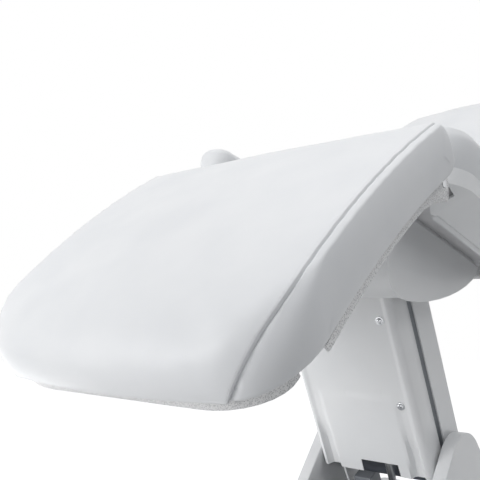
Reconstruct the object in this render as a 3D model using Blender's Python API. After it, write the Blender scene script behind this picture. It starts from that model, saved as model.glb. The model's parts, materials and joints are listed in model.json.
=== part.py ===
"""Beauty treatment chair with a parallel lift arm, a leg rest, a back rest, a headrest and folding arms.

Units are metres. +Z is up, +Y points to the head end and +X to the sitter's left.
The origin lies on the floor, on the underside of the base plate.
"""
import math

import bmesh
import bpy
from mathutils import Matrix, Vector

# Clearances
TOUCH = 0.0003
RUNNING = 0.0006

# Base
BASE_LENGTH = 0.85
BASE_WIDTH = 0.50
BASE_CENTRE_Y = 0.05
BASE_CORNER = 0.05
BASE_THICKNESS = 0.010
COVER_SETBACK = 0.020
COVER_TOP = 0.130
COVER_EDGE = 0.024
COVER_DRAFT = 0.004
SHELL_WALL = 0.003
CHEEK_INNER = 0.135
CHEEK_THICKNESS = 0.008
CHEEK_HUB_RADIUS = 0.040
BASE_HUB_RADIUS = 0.050
CHEEK_FOOT_LENGTH = 0.28
EAR_INNER = 0.126
EAR_OUTER = 0.152
EAR_RADIUS = 0.073
EAR_FLANK_ANGLE = math.radians(50)

# Lift arm
LOWER_PIVOT_Y = 0.118
LOWER_PIVOT_Z = 0.250
ARM_LENGTH = 0.420
ARM_LEAN = math.radians(24)
ARM_HALF_WIDTH = 0.120
ARM_HALF_DEPTH = 0.074
ARM_EDGE = 0.014
COVER_SEAM = 0.006
COVER_GAP = 0.007
FRONT_COVER_START = 0.022
FRONT_COVER_TOP = 0.005
REAR_COVER_START = 0.030
LINK_SLOT_TOP = 0.060
REAR_COVER_END = 0.055
ROD_NOTCH_WIDTH = 0.080
ROD_NOTCH_HEIGHT = 0.026
SHAFT_RADIUS = 0.015
HUB_RADIUS = 0.028
HUB_END_GAP = 0.0035
RAIL_INNER = 0.070
RAIL_OUTER = 0.100
LINK_PIN_RADIUS = 0.006
LINK_OFFSET = 0.055
LINK_OFFSET_ANGLE = math.radians(40)
LINK_X = -0.045
LINK_WIDTH = 0.010
LINK_EYE_RADIUS = 0.013

# Lift actuator
LIFT_X = 0.015
LIFT_DEPTH = 0.044
LIFT_MOTOR_HEIGHT = 0.340
LIFT_ANCHOR_DROP = 0.045
LIFT_ROD_RADIUS = 0.0075
LIFT_TUBE_RADIUS = 0.015
LIFT_EYE_RADIUS = 0.0165
LIFT_PLAY = 0.0032
LIFT_EYE_WIDTH = 0.020
LIFT_HOUSING_HALF_WIDTH = 0.028
LIFT_HOUSING_HALF_DEPTH = 0.022
LIFT_HOUSING_LOW = 0.060
LIFT_HOUSING_HIGH = 0.030
LIFT_TUBE_START = 0.050
LIFT_TUBE_END = 0.190
LIFT_BORE_TOP = 0.035
LIFT_ROD_INSIDE = 0.110
LIFT_FOOT_REACH = 0.035
LIFT_FOOT_THICKNESS = 0.006
LIFT_LUG_RADIUS = 0.014
PIN_RADIUS = 0.006

# Seat, in its own frame at the upper pivot, tilted front up
SEAT_TILT = math.radians(14)
BOARD_BOTTOM = 0.079
BOARD_THICKNESS = 0.024
SEAT_FRONT = -0.180
SEAT_BACK = 0.249
SEAT_HALF_WIDTH = 0.290
SEAT_CORNER = 0.070
SEAT_CUSHION_HEIGHT = 0.072
SEAT_CROWN = 0.024
BOARD_INSET = 0.005
SKIRT_WALL = 0.003
SKIRT_LIP = 0.028
SKIRT_REACH = 0.060
SKIRT_DROP = 0.030
SKIRT_BACK = 0.235
SKIRT_WRAP = 72
CROSS_TUBE = 0.023
FRONT_TUBE_Y = -0.152
REAR_TUBE_Y = 0.261
RAIL_STRIP = 0.003
STRIP_WIDTH = 0.022
SEAT_CHEEK_FRONT = -0.112
SEAT_CHEEK_BACK = 0.212
POD_OUTER = 0.160
POD_WALL = 0.0035
POD_FRONT = -0.125
POD_BOTTOM = -0.079
POD_RIDGE = 0.065
POD_SHOULDER = 0.010
POD_BEND = 0.050
POD_KEEL_REACH = 0.020
POD_TAIL = 0.233
POD_TAIL_SWELL = 0.008
POD_TAIL_DROP = 0.050

# Leg rest, in its own frame at the leg hinge
LEG_HINGE_FORWARD = 0.187171
LEG_HINGE_RISE = 0.101311
LEG_SLOPE = math.radians(29)
LEG_LENGTH = 0.500
LEG_TURN = math.radians(19)
LEG_TOP = 0.089
LEG_OVERHANG = 0.015
LEG_THICKNESS = 0.078
LEG_HALF_WIDTH_HINGE = 0.308
LEG_HALF_WIDTH_FOOT = 0.293
LEG_CORNER_HINGE = 0.022
LEG_CORNER_FOOT = 0.085
TRAY_THICKNESS = 0.004
LEG_TRAY_HALF_WIDTH = 0.284
LEG_FLANGE_HEIGHT = 0.016
LEG_FLANGE_FOOT = 0.009
LEG_TRAY_START = 0.075
LEG_TRAY_SETBACK = 0.088
LEG_BOARD_WIDTH = 0.060
LEG_BOARD_CORNER = 0.057
LEG_BOARD_CORNER_REACH = 0.115
LEG_BOARD_HEEL = 0.004
LEG_BOARD_LIP = 0.005
LEG_BOARD_SIDE_GAP = 0.035
LEG_BOARD_THICKNESS = 0.016
LEG_LUG_THICKNESS = 0.010
SEAT_LUG_OUTER = 0.262
SEAT_LUG_THICKNESS = 0.008
LUG_RADIUS = 0.016
SEAT_LUG_RADIUS = 0.0104
HINGE_PIN_RADIUS = 0.006

# Leg actuator
LEG_DRIVE_X = -0.190
LEG_DRIVE_Y = 0.020
LEG_DRIVE_Z = 0.020
LEG_LEVER_Y = -0.056
LEG_LEVER_Z = -0.034
LEG_PLAY = 0.0075
LEG_STROKE_IN = 0.024

# Back rest, in its own frame at the back hinge
BACK_HINGE_Y = 0.300
BACK_HINGE_Z = 0.125
BACK_SLOPE = math.radians(53)
BACK_LENGTH = 0.840
BACK_TURN = math.radians(33)
BACK_HALF_THICKNESS = 0.045
BACK_HALF_WIDTH_LOW = 0.286
BACK_HALF_WIDTH_TOP = 0.284
BACK_BOARD_START = 0.070
BACK_BOARD_SETBACK = 0.070
BACK_BOARD_THICKNESS = 0.012
BACK_TRAY_HALF_WIDTH = 0.215
BACK_RAIL = 0.022
HINGE_PLATE_INNER = 0.293
HINGE_PLATE_THICKNESS = 0.008
HINGE_PLATE_GAP = 0.002
HINGE_HUB_RADIUS = 0.020

# Back actuator
BACK_DRIVE_X = -0.242
BACK_DRIVE_Y = 0.080
BACK_DRIVE_Z = -0.030
BACK_LEVER_Y = -0.0413
BACK_LEVER_Z = -0.0744
BACK_PLAY = 0.0110
BACK_STROKE_IN = 0.053

# Shared by the leg and back actuators
DRIVE_STUD_RADIUS = 0.005
DRIVE_ROD_RADIUS = 0.007
DRIVE_TUBE_RADIUS = 0.014
DRIVE_EYE_WALL = 0.005
DRIVE_EYE_WIDTH = 0.014
DRIVE_HOUSING = 0.040
DRIVE_BRACKET = 0.006
BRACKET_HALF_LENGTH = 0.022

# Headrest, in its own frame at the top of the back rest
HEAD_ROD_X = 0.080
HEAD_ROD_RADIUS = 0.006
HEAD_ROD_DEPTH = 0.126
HEAD_ROD_LENGTH = 0.200
HEAD_SOCKET_RADIUS = 0.011
HEAD_SOCKET_LENGTH = 0.060
HEAD_GAP = 0.020
HEAD_LENGTH = 0.170
HEAD_HALF_WIDTH = 0.145
HEAD_THICKNESS = 0.070
HEAD_PLATE_THICKNESS = 0.005

# Armrests, in the seat's frame
ARMREST_PIVOT_Y = 0.258
ARMREST_PIVOT_Z = 0.222
ARMREST_FRONT = -0.067
ARMREST_INNER = 0.325
ARMREST_WIDTH = 0.085
ARMREST_HEIGHT = 0.055
ARMREST_BOTTOM = 0.243
ARMREST_BAR = 0.014
POST_THICKNESS = 0.010
POST_WIDTH = 0.024

# Control and mains fittings
JUNCTION_X = -0.065
JUNCTION_WIDTH = 0.040
JUNCTION_FRONT = -0.034
JUNCTION_DEPTH = 0.038
JUNCTION_HEIGHT = 0.030
CABLE_RADIUS = 0.0025
CABLE_X = -0.074
CABLE_CLEARANCE = 0.0015
CABLE_TOP = 0.200
CABLE_STRAIGHT = 0.060
CABLE_EXIT = 0.010
CABLE_BEND = -0.045
CABLE_LOOP = -0.083
SCREW_X = 0.090
SCREW_RADIUS = 0.0055
SCREW_LOW = 0.176
SCREW_HIGH = 0.345
SCREW_DEPTH = 0.008
COVER_TAB = 0.016
REAR_TAB_HEIGHTS = (0.120, 0.300)
INLET_WIDTH = 0.110
INLET_HEIGHT = 0.045
INLET_DEPTH = 0.012
INLET_Z = 0.068
SOCKET_WIDTH = 0.028
SOCKET_HEIGHT = 0.020
ROCKER_WIDTH = 0.014
ROCKER_HEIGHT = 0.022
ROCKER_DEPTH = 0.008
ROCKER_TILT = math.radians(8)
CONTROL_BOX_SIZE = (0.160, 0.110, 0.060)

# Values worked out from the driving dimensions
SCREW_PLACES = ((SCREW_X, SCREW_LOW), (SCREW_X, SCREW_HIGH), (-SCREW_X, SCREW_HIGH))
ARM_OUT = Vector((0.0, -math.sin(ARM_LEAN), math.cos(ARM_LEAN)))
LOWER_PIVOT = Vector((0.0, LOWER_PIVOT_Y, LOWER_PIVOT_Z))
UPPER_PIVOT = LOWER_PIVOT + ARM_OUT * ARM_LENGTH
LINK_SHIFT = Vector((0.0, math.cos(LINK_OFFSET_ANGLE), math.sin(LINK_OFFSET_ANGLE))) * LINK_OFFSET
CHEEK_OUTER = CHEEK_INNER + CHEEK_THICKNESS
BOARD_TOP = BOARD_BOTTOM + BOARD_THICKNESS
LEG_HINGE = UPPER_PIVOT + Vector((0.0, -LEG_HINGE_FORWARD, LEG_HINGE_RISE))
LEG_RADIUS = LEG_LENGTH / LEG_TURN
LEG_TRAY_END = LEG_LENGTH - LEG_TRAY_SETBACK
LEG_BOARD_START = LEG_LENGTH - LEG_BOARD_WIDTH
BACK_RADIUS = BACK_LENGTH / BACK_TURN
BACK_BOARD_END = BACK_LENGTH - BACK_BOARD_SETBACK
TUBE_TOP = BOARD_BOTTOM - RAIL_STRIP - 2 * TOUCH
TUBE_BOTTOM = TUBE_TOP - CROSS_TUBE
STRIP_BOTTOM = TUBE_TOP + TOUCH
STRIP_TOP = STRIP_BOTTOM + RAIL_STRIP
BACK_ARM_INNER = HINGE_PLATE_INNER + HINGE_PLATE_THICKNESS + HINGE_PLATE_GAP
POST_INNER = BACK_ARM_INNER + HINGE_PLATE_THICKNESS + HINGE_PLATE_GAP


def clear_scene():
    """Remove every object that the file opened with."""
    for item in list(bpy.data.objects):
        bpy.data.objects.remove(item, do_unlink=True)


def make_material(name, colour, roughness, metallic=0.0):
    """Make one Principled material."""
    material = bpy.data.materials.new(name)
    material.use_nodes = True
    shader = material.node_tree.nodes["Principled BSDF"]
    shader.inputs["Base Color"].default_value = (*colour, 1.0)
    shader.inputs["Roughness"].default_value = roughness
    shader.inputs["Metallic"].default_value = metallic
    return material


def frame_empty(name, parent, location, turn=0.0):
    """Make an empty on a joint axis; turn is about +X."""
    empty = bpy.data.objects.new(name, None)
    bpy.context.collection.objects.link(empty)
    empty.parent = parent
    empty.location = location
    empty.rotation_euler = (turn, 0.0, 0.0)
    return empty


def new_object(name, shape):
    """Turn a bmesh into an object with its faces pointing out."""
    bmesh.ops.recalc_face_normals(shape, faces=shape.faces)
    mesh = bpy.data.meshes.new(name)
    shape.to_mesh(mesh)
    shape.free()
    item = bpy.data.objects.new(name, mesh)
    bpy.context.collection.objects.link(item)
    return item


def combine(base, tool, operation):
    """Apply a Boolean of tool on base and remove the tool."""
    step = base.modifiers.new(operation, "BOOLEAN")
    step.operation = operation
    step.solver = "EXACT"
    step.object = tool
    evaluate(base)
    bpy.data.objects.remove(tool, do_unlink=True)
    return base


def evaluate(item):
    """Replace an object's mesh by its evaluated mesh and drop its modifiers."""
    bpy.context.view_layer.update()
    graph = bpy.context.evaluated_depsgraph_get()
    mesh = bpy.data.meshes.new_from_object(item.evaluated_get(graph))
    item.modifiers.clear()
    item.data = mesh


def cut(base, *tools):
    """Cut every tool out of base."""
    for tool in tools:
        combine(base, tool, "DIFFERENCE")
    return base


def join(base, *tools):
    """Weld every tool to base."""
    for tool in tools:
        combine(base, tool, "UNION")
    return base


def round_edges(item, width, segments=2, angle=50):
    """Bevel the sharp edges of an object."""
    step = item.modifiers.new("edges", "BEVEL")
    step.width = width
    step.segments = segments
    step.limit_method = "ANGLE"
    step.angle_limit = math.radians(angle)
    evaluate(item)
    return item


def finish(item, parent, material):
    """Give an object its carrier and material and shade it smooth."""
    item.parent = parent
    item.data.materials.clear()
    item.data.materials.append(material)
    item.data.shade_smooth()
    item.data.set_sharp_from_angle(angle=math.radians(35))
    return item


def block(name, low, high):
    """A box from its lowest to its highest corner."""
    shape = bmesh.new()
    bmesh.ops.create_cube(shape, size=1.0)
    size = [b - a for a, b in zip(low, high)]
    middle = [(a + b) / 2 for a, b in zip(low, high)]
    stretch = Matrix.Translation(middle) @ Matrix.Diagonal((*size, 1.0))
    bmesh.ops.transform(shape, matrix=stretch, verts=shape.verts)
    return new_object(name, shape)


def prism(name, outline, x_low, x_high):
    """A plate: an outline of (y, z) points between two X planes."""
    shape = bmesh.new()
    face = shape.faces.new([shape.verts.new((x_low, y, z)) for y, z in outline])
    made = bmesh.ops.extrude_face_region(shape, geom=[face])
    moved = [part for part in made["geom"] if isinstance(part, bmesh.types.BMVert)]
    bmesh.ops.translate(shape, vec=(x_high - x_low, 0.0, 0.0), verts=moved)
    return new_object(name, shape)


def rod(name, start, end, radius, sides=24):
    """A round bar between two points."""
    start = Vector(start)
    end = Vector(end)
    along = end - start
    shape = bmesh.new()
    bmesh.ops.create_cone(
        shape, cap_ends=True, segments=sides, radius1=radius, radius2=radius, depth=along.length)
    turn = along.to_track_quat("Z", "Y").to_matrix().to_4x4()
    bmesh.ops.transform(shape, matrix=Matrix.Translation((start + end) / 2) @ turn, verts=shape.verts)
    return new_object(name, shape)


def cross_rod(name, y, z, x_low, x_high, radius, sides=24):
    """A round bar along X."""
    return rod(name, (x_low, y, z), (x_high, y, z), radius, sides)


def arc(y, z, radius, start, end, steps):
    """Points on an arc, angles in degrees from +Y towards +Z."""
    points = []
    for step in range(steps + 1):
        angle = math.radians(start + (end - start) * step / steps)
        points.append((y + radius * math.cos(angle), z + radius * math.sin(angle)))
    return points


def half_ring(low, high, width_low, width_high, corner_low, corner_high, sides, steps):
    """Right half of a rounded plan outline from its low end to its high end, as (x, s) points."""
    points = []
    for step in range(steps + 1):
        angle = math.radians(-90 + 90 * step / steps)
        points.append((width_low - corner_low + corner_low * math.cos(angle),
                       low + corner_low + corner_low * math.sin(angle)))
    for step in range(1, sides):
        share = step / sides
        points.append((width_low + (width_high - width_low) * share,
                       low + corner_low + (high - corner_high - low - corner_low) * share))
    for step in range(steps + 1):
        angle = math.radians(90 * step / steps)
        points.append((width_high - corner_high + corner_high * math.cos(angle),
                       high - corner_high + corner_high * math.sin(angle)))
    return points


def oval_ring(low, high, half, heel, across, along, steps):
    """Right half of a plan outline with a small heel corner and a wide oval corner, as (x, s) points."""
    points = [(half - heel, low), (half, low + heel)]
    for step in range(steps + 1):
        angle = math.radians(90 * step / steps)
        points.append((half - across + across * math.cos(angle), high - along + along * math.sin(angle)))
    return points


def ring_solid(name, rings, place):
    """A closed body lofted through rings of (half outline, height), mapped by place(x, s, height)."""
    shape = bmesh.new()
    loops = []
    for outline, height in rings:
        right = [shape.verts.new(place(x, s, height)) for x, s in outline]
        left = [shape.verts.new(place(-x, s, height)) for x, s in outline]
        loops.append(right + left[::-1])
    count = len(loops[0])
    for lower, upper in zip(loops, loops[1:]):
        for index in range(count):
            after = (index + 1) % count
            shape.faces.new((lower[index], lower[after], upper[after], upper[index]))
    for loop in (loops[0], loops[-1]):
        for index in range(count // 2 - 1):
            shape.faces.new((loop[index], loop[index + 1], loop[-index - 2], loop[-index - 1]))
    return new_object(name, shape)


def plain(x, s, height):
    """A flat map from plan to space."""
    return (x, s, height)


def leg_place(x, s, height):
    """Bend the leg rest's plan over its arc; s runs from the hinge to the foot."""
    turn = s / LEG_RADIUS
    reach = LEG_RADIUS + height
    return (x, LEG_OVERHANG - reach * math.sin(turn), LEG_TOP - LEG_RADIUS + reach * math.cos(turn))


def back_place(x, s, height):
    """Bend the back rest's plan over its arc; s runs from the hinge to the head."""
    turn = s / BACK_RADIUS
    reach = BACK_RADIUS + height
    return (x, reach * math.sin(turn), BACK_HALF_THICKNESS - BACK_RADIUS + reach * math.cos(turn))


def cushion(name, low, high, width_low, width_high, corner_low, corner_high, levels, place, sides=8):
    """A padded body: levels are (inset from the plan outline, height) from the bottom to the crown."""
    rings = []
    for inset, height in levels:
        rings.append((half_ring(
            low + inset, high - inset, width_low - inset, width_high - inset,
            max(corner_low - inset, 0.006), max(corner_high - inset, 0.006), sides, 4), height))
    return ring_solid(name, rings, place)


def pad_levels(bottom, top, crown, bulge, shoulder):
    """Levels of an upholstered pad with rounded sides, drawn in at the seam, and a crowned top."""
    height = top - bottom
    return [
        (bulge + 0.010, bottom),
        (bulge * 0.35, bottom + height * 0.12),
        (0.0, bottom + height * 0.45),
        (bulge * 0.3, bottom + height * 0.80),
        (bulge, top - shoulder * 0.15),
        (bulge + 0.004, top),
        (bulge + 0.030, top + crown * 0.45),
        (bulge + 0.080, top + crown * 0.85),
        (bulge + 0.140, top + crown),
    ]


def make_materials():
    """One material for each kind of surface."""
    return {
        "leather": make_material("white_leather", (0.84, 0.84, 0.85), 0.45),
        "plastic": make_material("white_plastic", (0.80, 0.80, 0.81), 0.40),
        "powder": make_material("textured_powder_coat", (0.74, 0.74, 0.75), 0.65),
        "steel": make_material("bright_steel", (0.55, 0.56, 0.57), 0.30, 1.0),
        "dark": make_material("dark_steel", (0.16, 0.17, 0.19), 0.55, 0.4),
        "board": make_material("covered_board", (0.78, 0.78, 0.79), 0.60),
        "grey": make_material("grey_plastic", (0.48, 0.49, 0.51), 0.50),
        "black": make_material("black_plastic", (0.03, 0.03, 0.03), 0.45),
    }


def shaft_point(along, depth):
    """A (y, z) point in the arm's frame: along the arm from its lower pivot, depth towards the foot end."""
    return (-depth, along)


def make_base(root, mats):
    """Base plate, uprights, covers, lower pivots and mains fittings."""
    low = BASE_CENTRE_Y - BASE_LENGTH / 2
    high = BASE_CENTRE_Y + BASE_LENGTH / 2
    half = BASE_WIDTH / 2
    plan = half_ring(low, high, half, half, BASE_CORNER, BASE_CORNER, 1, 5)
    finish(ring_solid("base_plate", [(plan, 0.0), (plan, BASE_THICKNESS)], plain), root, mats["powder"])

    floor = BASE_THICKNESS + TOUCH
    foot = CHEEK_FOOT_LENGTH / 2
    hub = arc(LOWER_PIVOT_Y, LOWER_PIVOT_Z, BASE_HUB_RADIUS, 25, 155, 10)
    outline = [(LOWER_PIVOT_Y - foot, floor), (LOWER_PIVOT_Y + foot, floor)] + hub
    link_pin = LOWER_PIVOT + LINK_SHIFT
    for side, sign in (("left", 1), ("right", -1)):
        inner, outer = sorted((sign * CHEEK_INNER, sign * CHEEK_OUTER))
        cheek = prism(f"base_cheek_{side}", outline, inner, outer)
        cut(cheek, cross_rod("bore", LOWER_PIVOT_Y, LOWER_PIVOT_Z, inner - 0.01, outer + 0.01,
                             SHAFT_RADIUS + RUNNING))
        if side == "right":
            boss = cross_rod("boss", link_pin.y, link_pin.z, inner, outer, LINK_EYE_RADIUS)
            join(cheek, boss)
            end = LINK_X + LINK_WIDTH / 2 + 0.004
            join(cheek, cross_rod("stud", link_pin.y, link_pin.z, inner + 0.002, end, LINK_PIN_RADIUS))
        finish(cheek, root, mats["dark"])
        make_ear_cover(side, sign, root, mats)

    finish(cross_rod("lower_shaft", LOWER_PIVOT_Y, LOWER_PIVOT_Z, -CHEEK_OUTER, CHEEK_OUTER, SHAFT_RADIUS),
           root, mats["steel"])
    make_base_cover(low, high, half, root, mats)
    make_lift_anchor(root, mats)
    make_mains_fittings(high - COVER_SETBACK, root, mats)


def make_ear_cover(side, sign, root, mats):
    """One hollow arched cover over a base upright."""
    seat = COVER_TOP + TOUCH
    bodies = []
    for wall in (0.0, SHELL_WALL):
        radius = EAR_RADIUS - wall
        tangent = math.pi / 2 - EAR_FLANK_ANGLE
        rise = LOWER_PIVOT_Z + radius * math.sin(tangent) - seat + (0.01 if wall else 0.0)
        spread = radius * math.cos(tangent) + rise / math.tan(EAR_FLANK_ANGLE)
        base_z = seat - (0.01 if wall else 0.0)
        turn = math.degrees(tangent)
        top = arc(LOWER_PIVOT_Y, LOWER_PIVOT_Z, radius, turn, 180 - turn, 14)
        outline = [(LOWER_PIVOT_Y - spread, base_z), (LOWER_PIVOT_Y + spread, base_z)] + top
        inner, outer = sorted((sign * (EAR_INNER + wall), sign * (EAR_OUTER - wall)))
        bodies.append(prism(f"ear_cover_{side}" if not wall else "hollow", outline, inner, outer))
    ear = round_edges(bodies[0], SHELL_WALL * 0.8, 2, 60)
    cut(ear, bodies[1])
    inner, outer = sorted((sign * (EAR_INNER - 0.01), sign * CHEEK_INNER))
    cut(ear, cross_rod("bore", LOWER_PIVOT_Y, LOWER_PIVOT_Z, inner, outer, SHAFT_RADIUS + 0.003))
    if side == "right":
        pin = LOWER_PIVOT + LINK_SHIFT
        cut(ear, cross_rod("bore", pin.y, pin.z, inner, outer, LINK_PIN_RADIUS + 0.003))
    finish(ear, root, mats["plastic"])


def make_base_cover(low, high, half, root, mats):
    """The low moulded cover over the base plate, open between the ears."""
    solids = []
    floor = BASE_THICKNESS + TOUCH
    for wall in (0.0, SHELL_WALL):
        rings = []
        for inset, height in ((0.0, floor - wall), (COVER_DRAFT, COVER_TOP - COVER_EDGE),
                              (COVER_DRAFT + COVER_EDGE * 0.3, COVER_TOP - COVER_EDGE * 0.3 - wall),
                              (COVER_DRAFT + COVER_EDGE, COVER_TOP - wall)):
            shift = COVER_SETBACK + inset + wall
            rings.append((half_ring(low + shift, high - shift, half - shift, half - shift,
                                    BASE_CORNER - inset, BASE_CORNER - inset, 1, 5), height))
        solids.append(ring_solid("base_cover" if not wall else "hollow", rings, plain))
    cover = cut(solids[0], solids[1])
    reach = CHEEK_FOOT_LENGTH / 2 + 0.006
    across = CHEEK_OUTER + 0.006
    cut(cover, block("opening", (-across, LOWER_PIVOT_Y - reach, COVER_TOP - 0.05),
                     (across, LOWER_PIVOT_Y + reach, COVER_TOP + 0.05)))
    finish(cover, root, mats["plastic"])


def make_lift_anchor(root, mats):
    """The bracket on the base plate that carries the lift rod's lower pin."""
    turn = Matrix.Rotation(ARM_LEAN, 4, "X")
    anchor = LOWER_PIVOT + turn @ Vector((0.0, -LIFT_DEPTH, -LIFT_ANCHOR_DROP))
    floor = BASE_THICKNESS + TOUCH
    side_gap = LIFT_EYE_WIDTH / 2 + 0.003
    outline = [(anchor.y - LIFT_FOOT_REACH, floor), (anchor.y + LIFT_FOOT_REACH, floor)]
    outline += arc(anchor.y, anchor.z, LIFT_LUG_RADIUS, 10, 170, 8)
    plates = []
    for sign in (-1, 1):
        near, far = sorted((LIFT_X + sign * side_gap, LIFT_X + sign * (side_gap + CHEEK_THICKNESS)))
        plates.append(prism("lift_anchor", outline, near, far))
    pin = cross_rod("pin", anchor.y, anchor.z, LIFT_X - side_gap - CHEEK_THICKNESS / 2,
                    LIFT_X + side_gap + CHEEK_THICKNESS / 2, PIN_RADIUS)
    foot = block("foot", (LIFT_X - side_gap - 0.002, anchor.y - LIFT_FOOT_REACH, floor),
                 (LIFT_X + side_gap + 0.002, anchor.y + LIFT_FOOT_REACH, floor + LIFT_FOOT_THICKNESS))
    finish(join(plates[0], foot, plates[1], pin), root, mats["dark"])


def make_mains_fittings(cover_end, root, mats):
    """Control box inside the base and the inlet plate with its rocker at the rear."""
    width, length, height = CONTROL_BOX_SIZE
    floor = BASE_THICKNESS + TOUCH
    back = cover_end - 0.020
    box = block("control_box", (-width / 2, back - length, floor), (width / 2, back, floor + height))
    finish(round_edges(box, 0.004), root, mats["grey"])

    low_edge = INLET_Z - INLET_HEIGHT / 2
    face = cover_end - COVER_DRAFT * (low_edge - floor) / (COVER_TOP - COVER_EDGE - floor) + TOUCH
    plate = block("mains_inlet", (-INLET_WIDTH / 2, face, INLET_Z - INLET_HEIGHT / 2),
                  (INLET_WIDTH / 2, face + INLET_DEPTH, INLET_Z + INLET_HEIGHT / 2))
    round_edges(plate, 0.0025)
    socket_x = -INLET_WIDTH / 4
    rocker_x = INLET_WIDTH / 4
    depth = face + INLET_DEPTH
    cut(plate, block("socket", (socket_x - SOCKET_WIDTH / 2, face + 0.003, INLET_Z - SOCKET_HEIGHT / 2),
                     (socket_x + SOCKET_WIDTH / 2, depth + 0.01, INLET_Z + SOCKET_HEIGHT / 2)))
    slack = 0.0008
    cut(plate, block("recess", (rocker_x - ROCKER_WIDTH / 2 - slack, face + 0.0015,
                                INLET_Z - ROCKER_HEIGHT / 2 - slack),
                     (rocker_x + ROCKER_WIDTH / 2 + slack, depth + 0.01,
                      INLET_Z + ROCKER_HEIGHT / 2 + slack)))
    finish(plate, root, mats["black"])

    place = (rocker_x, depth - ROCKER_DEPTH / 2 + 0.0012, INLET_Z)
    switch = frame_empty("switch_frame", root, place, ROCKER_TILT)
    rocker = block("power_rocker", (-ROCKER_WIDTH / 2, -ROCKER_DEPTH / 2, -ROCKER_HEIGHT / 2),
                   (ROCKER_WIDTH / 2, ROCKER_DEPTH / 2, ROCKER_HEIGHT / 2))
    finish(round_edges(rocker, 0.0012), switch, mats["black"])


def arm_tube(wall, start, end, edge):
    """The rounded box section of the arm's covers between two heights along the arm."""
    rings = []
    depth = ARM_HALF_DEPTH - wall
    width = ARM_HALF_WIDTH - wall
    plan = half_ring(-depth, depth, width, width, edge, edge, 1, 4)
    rings.append((plan, start))
    rings.append((plan, end))
    return ring_solid("shell", rings, plain)


def make_arm(arm, mats):
    """Beam, front and rear covers, cover screws, junction box and its cable."""
    finish(make_arm_beam(), arm, mats["dark"])
    front = arm_shell("arm_front_cover", FRONT_COVER_START, ARM_LENGTH + FRONT_COVER_TOP)
    limit = 2 * ARM_HALF_WIDTH
    cut(front, block("rear", (-limit, -COVER_SEAM, -0.1), (limit, limit, ARM_LENGTH + 0.2)))
    for height in (0.0, ARM_LENGTH):
        cut(front, cross_rod("bore", 0.0, height, -limit, limit, HUB_RADIUS + 0.010, 32))
    cut(front, block("notch", (LIFT_X - ROD_NOTCH_WIDTH / 2, -ARM_HALF_DEPTH - 0.01, -0.01),
                     (LIFT_X + ROD_NOTCH_WIDTH / 2, -ARM_HALF_DEPTH + 0.02,
                      FRONT_COVER_START + ROD_NOTCH_HEIGHT)))
    for number, (x, height) in enumerate(SCREW_PLACES, 1):
        start = (x, -ARM_HALF_DEPTH - 0.0008, height)
        end = (x, -ARM_HALF_DEPTH + SHELL_WALL + SCREW_DEPTH - 0.001, height)
        hole = rod("hole", (x, -ARM_HALF_DEPTH - 0.01, height), end, SCREW_RADIUS + TOUCH, 16)
        cut(front, hole)
        finish(rod(f"cover_screw_{number}", start, end, SCREW_RADIUS, 16), arm, mats["steel"])
    finish(front, arm, mats["plastic"])

    rear = arm_shell("arm_rear_cover", REAR_COVER_START, ARM_LENGTH - REAR_COVER_END)
    cut(rear, block("front", (-limit, -limit, -0.1), (limit, -COVER_SEAM + COVER_GAP, ARM_LENGTH + 0.2)))
    cut(rear, block("link_slot", (-limit, -limit, -0.1), (0.0, limit, LINK_SLOT_TOP)))
    finish(rear, arm, mats["plastic"])

    top = -HUB_RADIUS - 3 * TOUCH
    box = block("junction_box", (JUNCTION_X - JUNCTION_WIDTH / 2, JUNCTION_FRONT, top - JUNCTION_HEIGHT),
                (JUNCTION_X + JUNCTION_WIDTH / 2, JUNCTION_FRONT + JUNCTION_DEPTH, top))
    finish(round_edges(box, 0.002), arm, mats["grey"])
    make_motor_cable(arm, mats)


def arm_shell(name, start, end):
    """One hollow length of the arm's outer section."""
    shell = arm_tube(0.0, start, end, ARM_EDGE)
    shell.name = name
    return cut(shell, arm_tube(SHELL_WALL, start - 0.05, end + 0.05, ARM_EDGE - SHELL_WALL))


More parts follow.
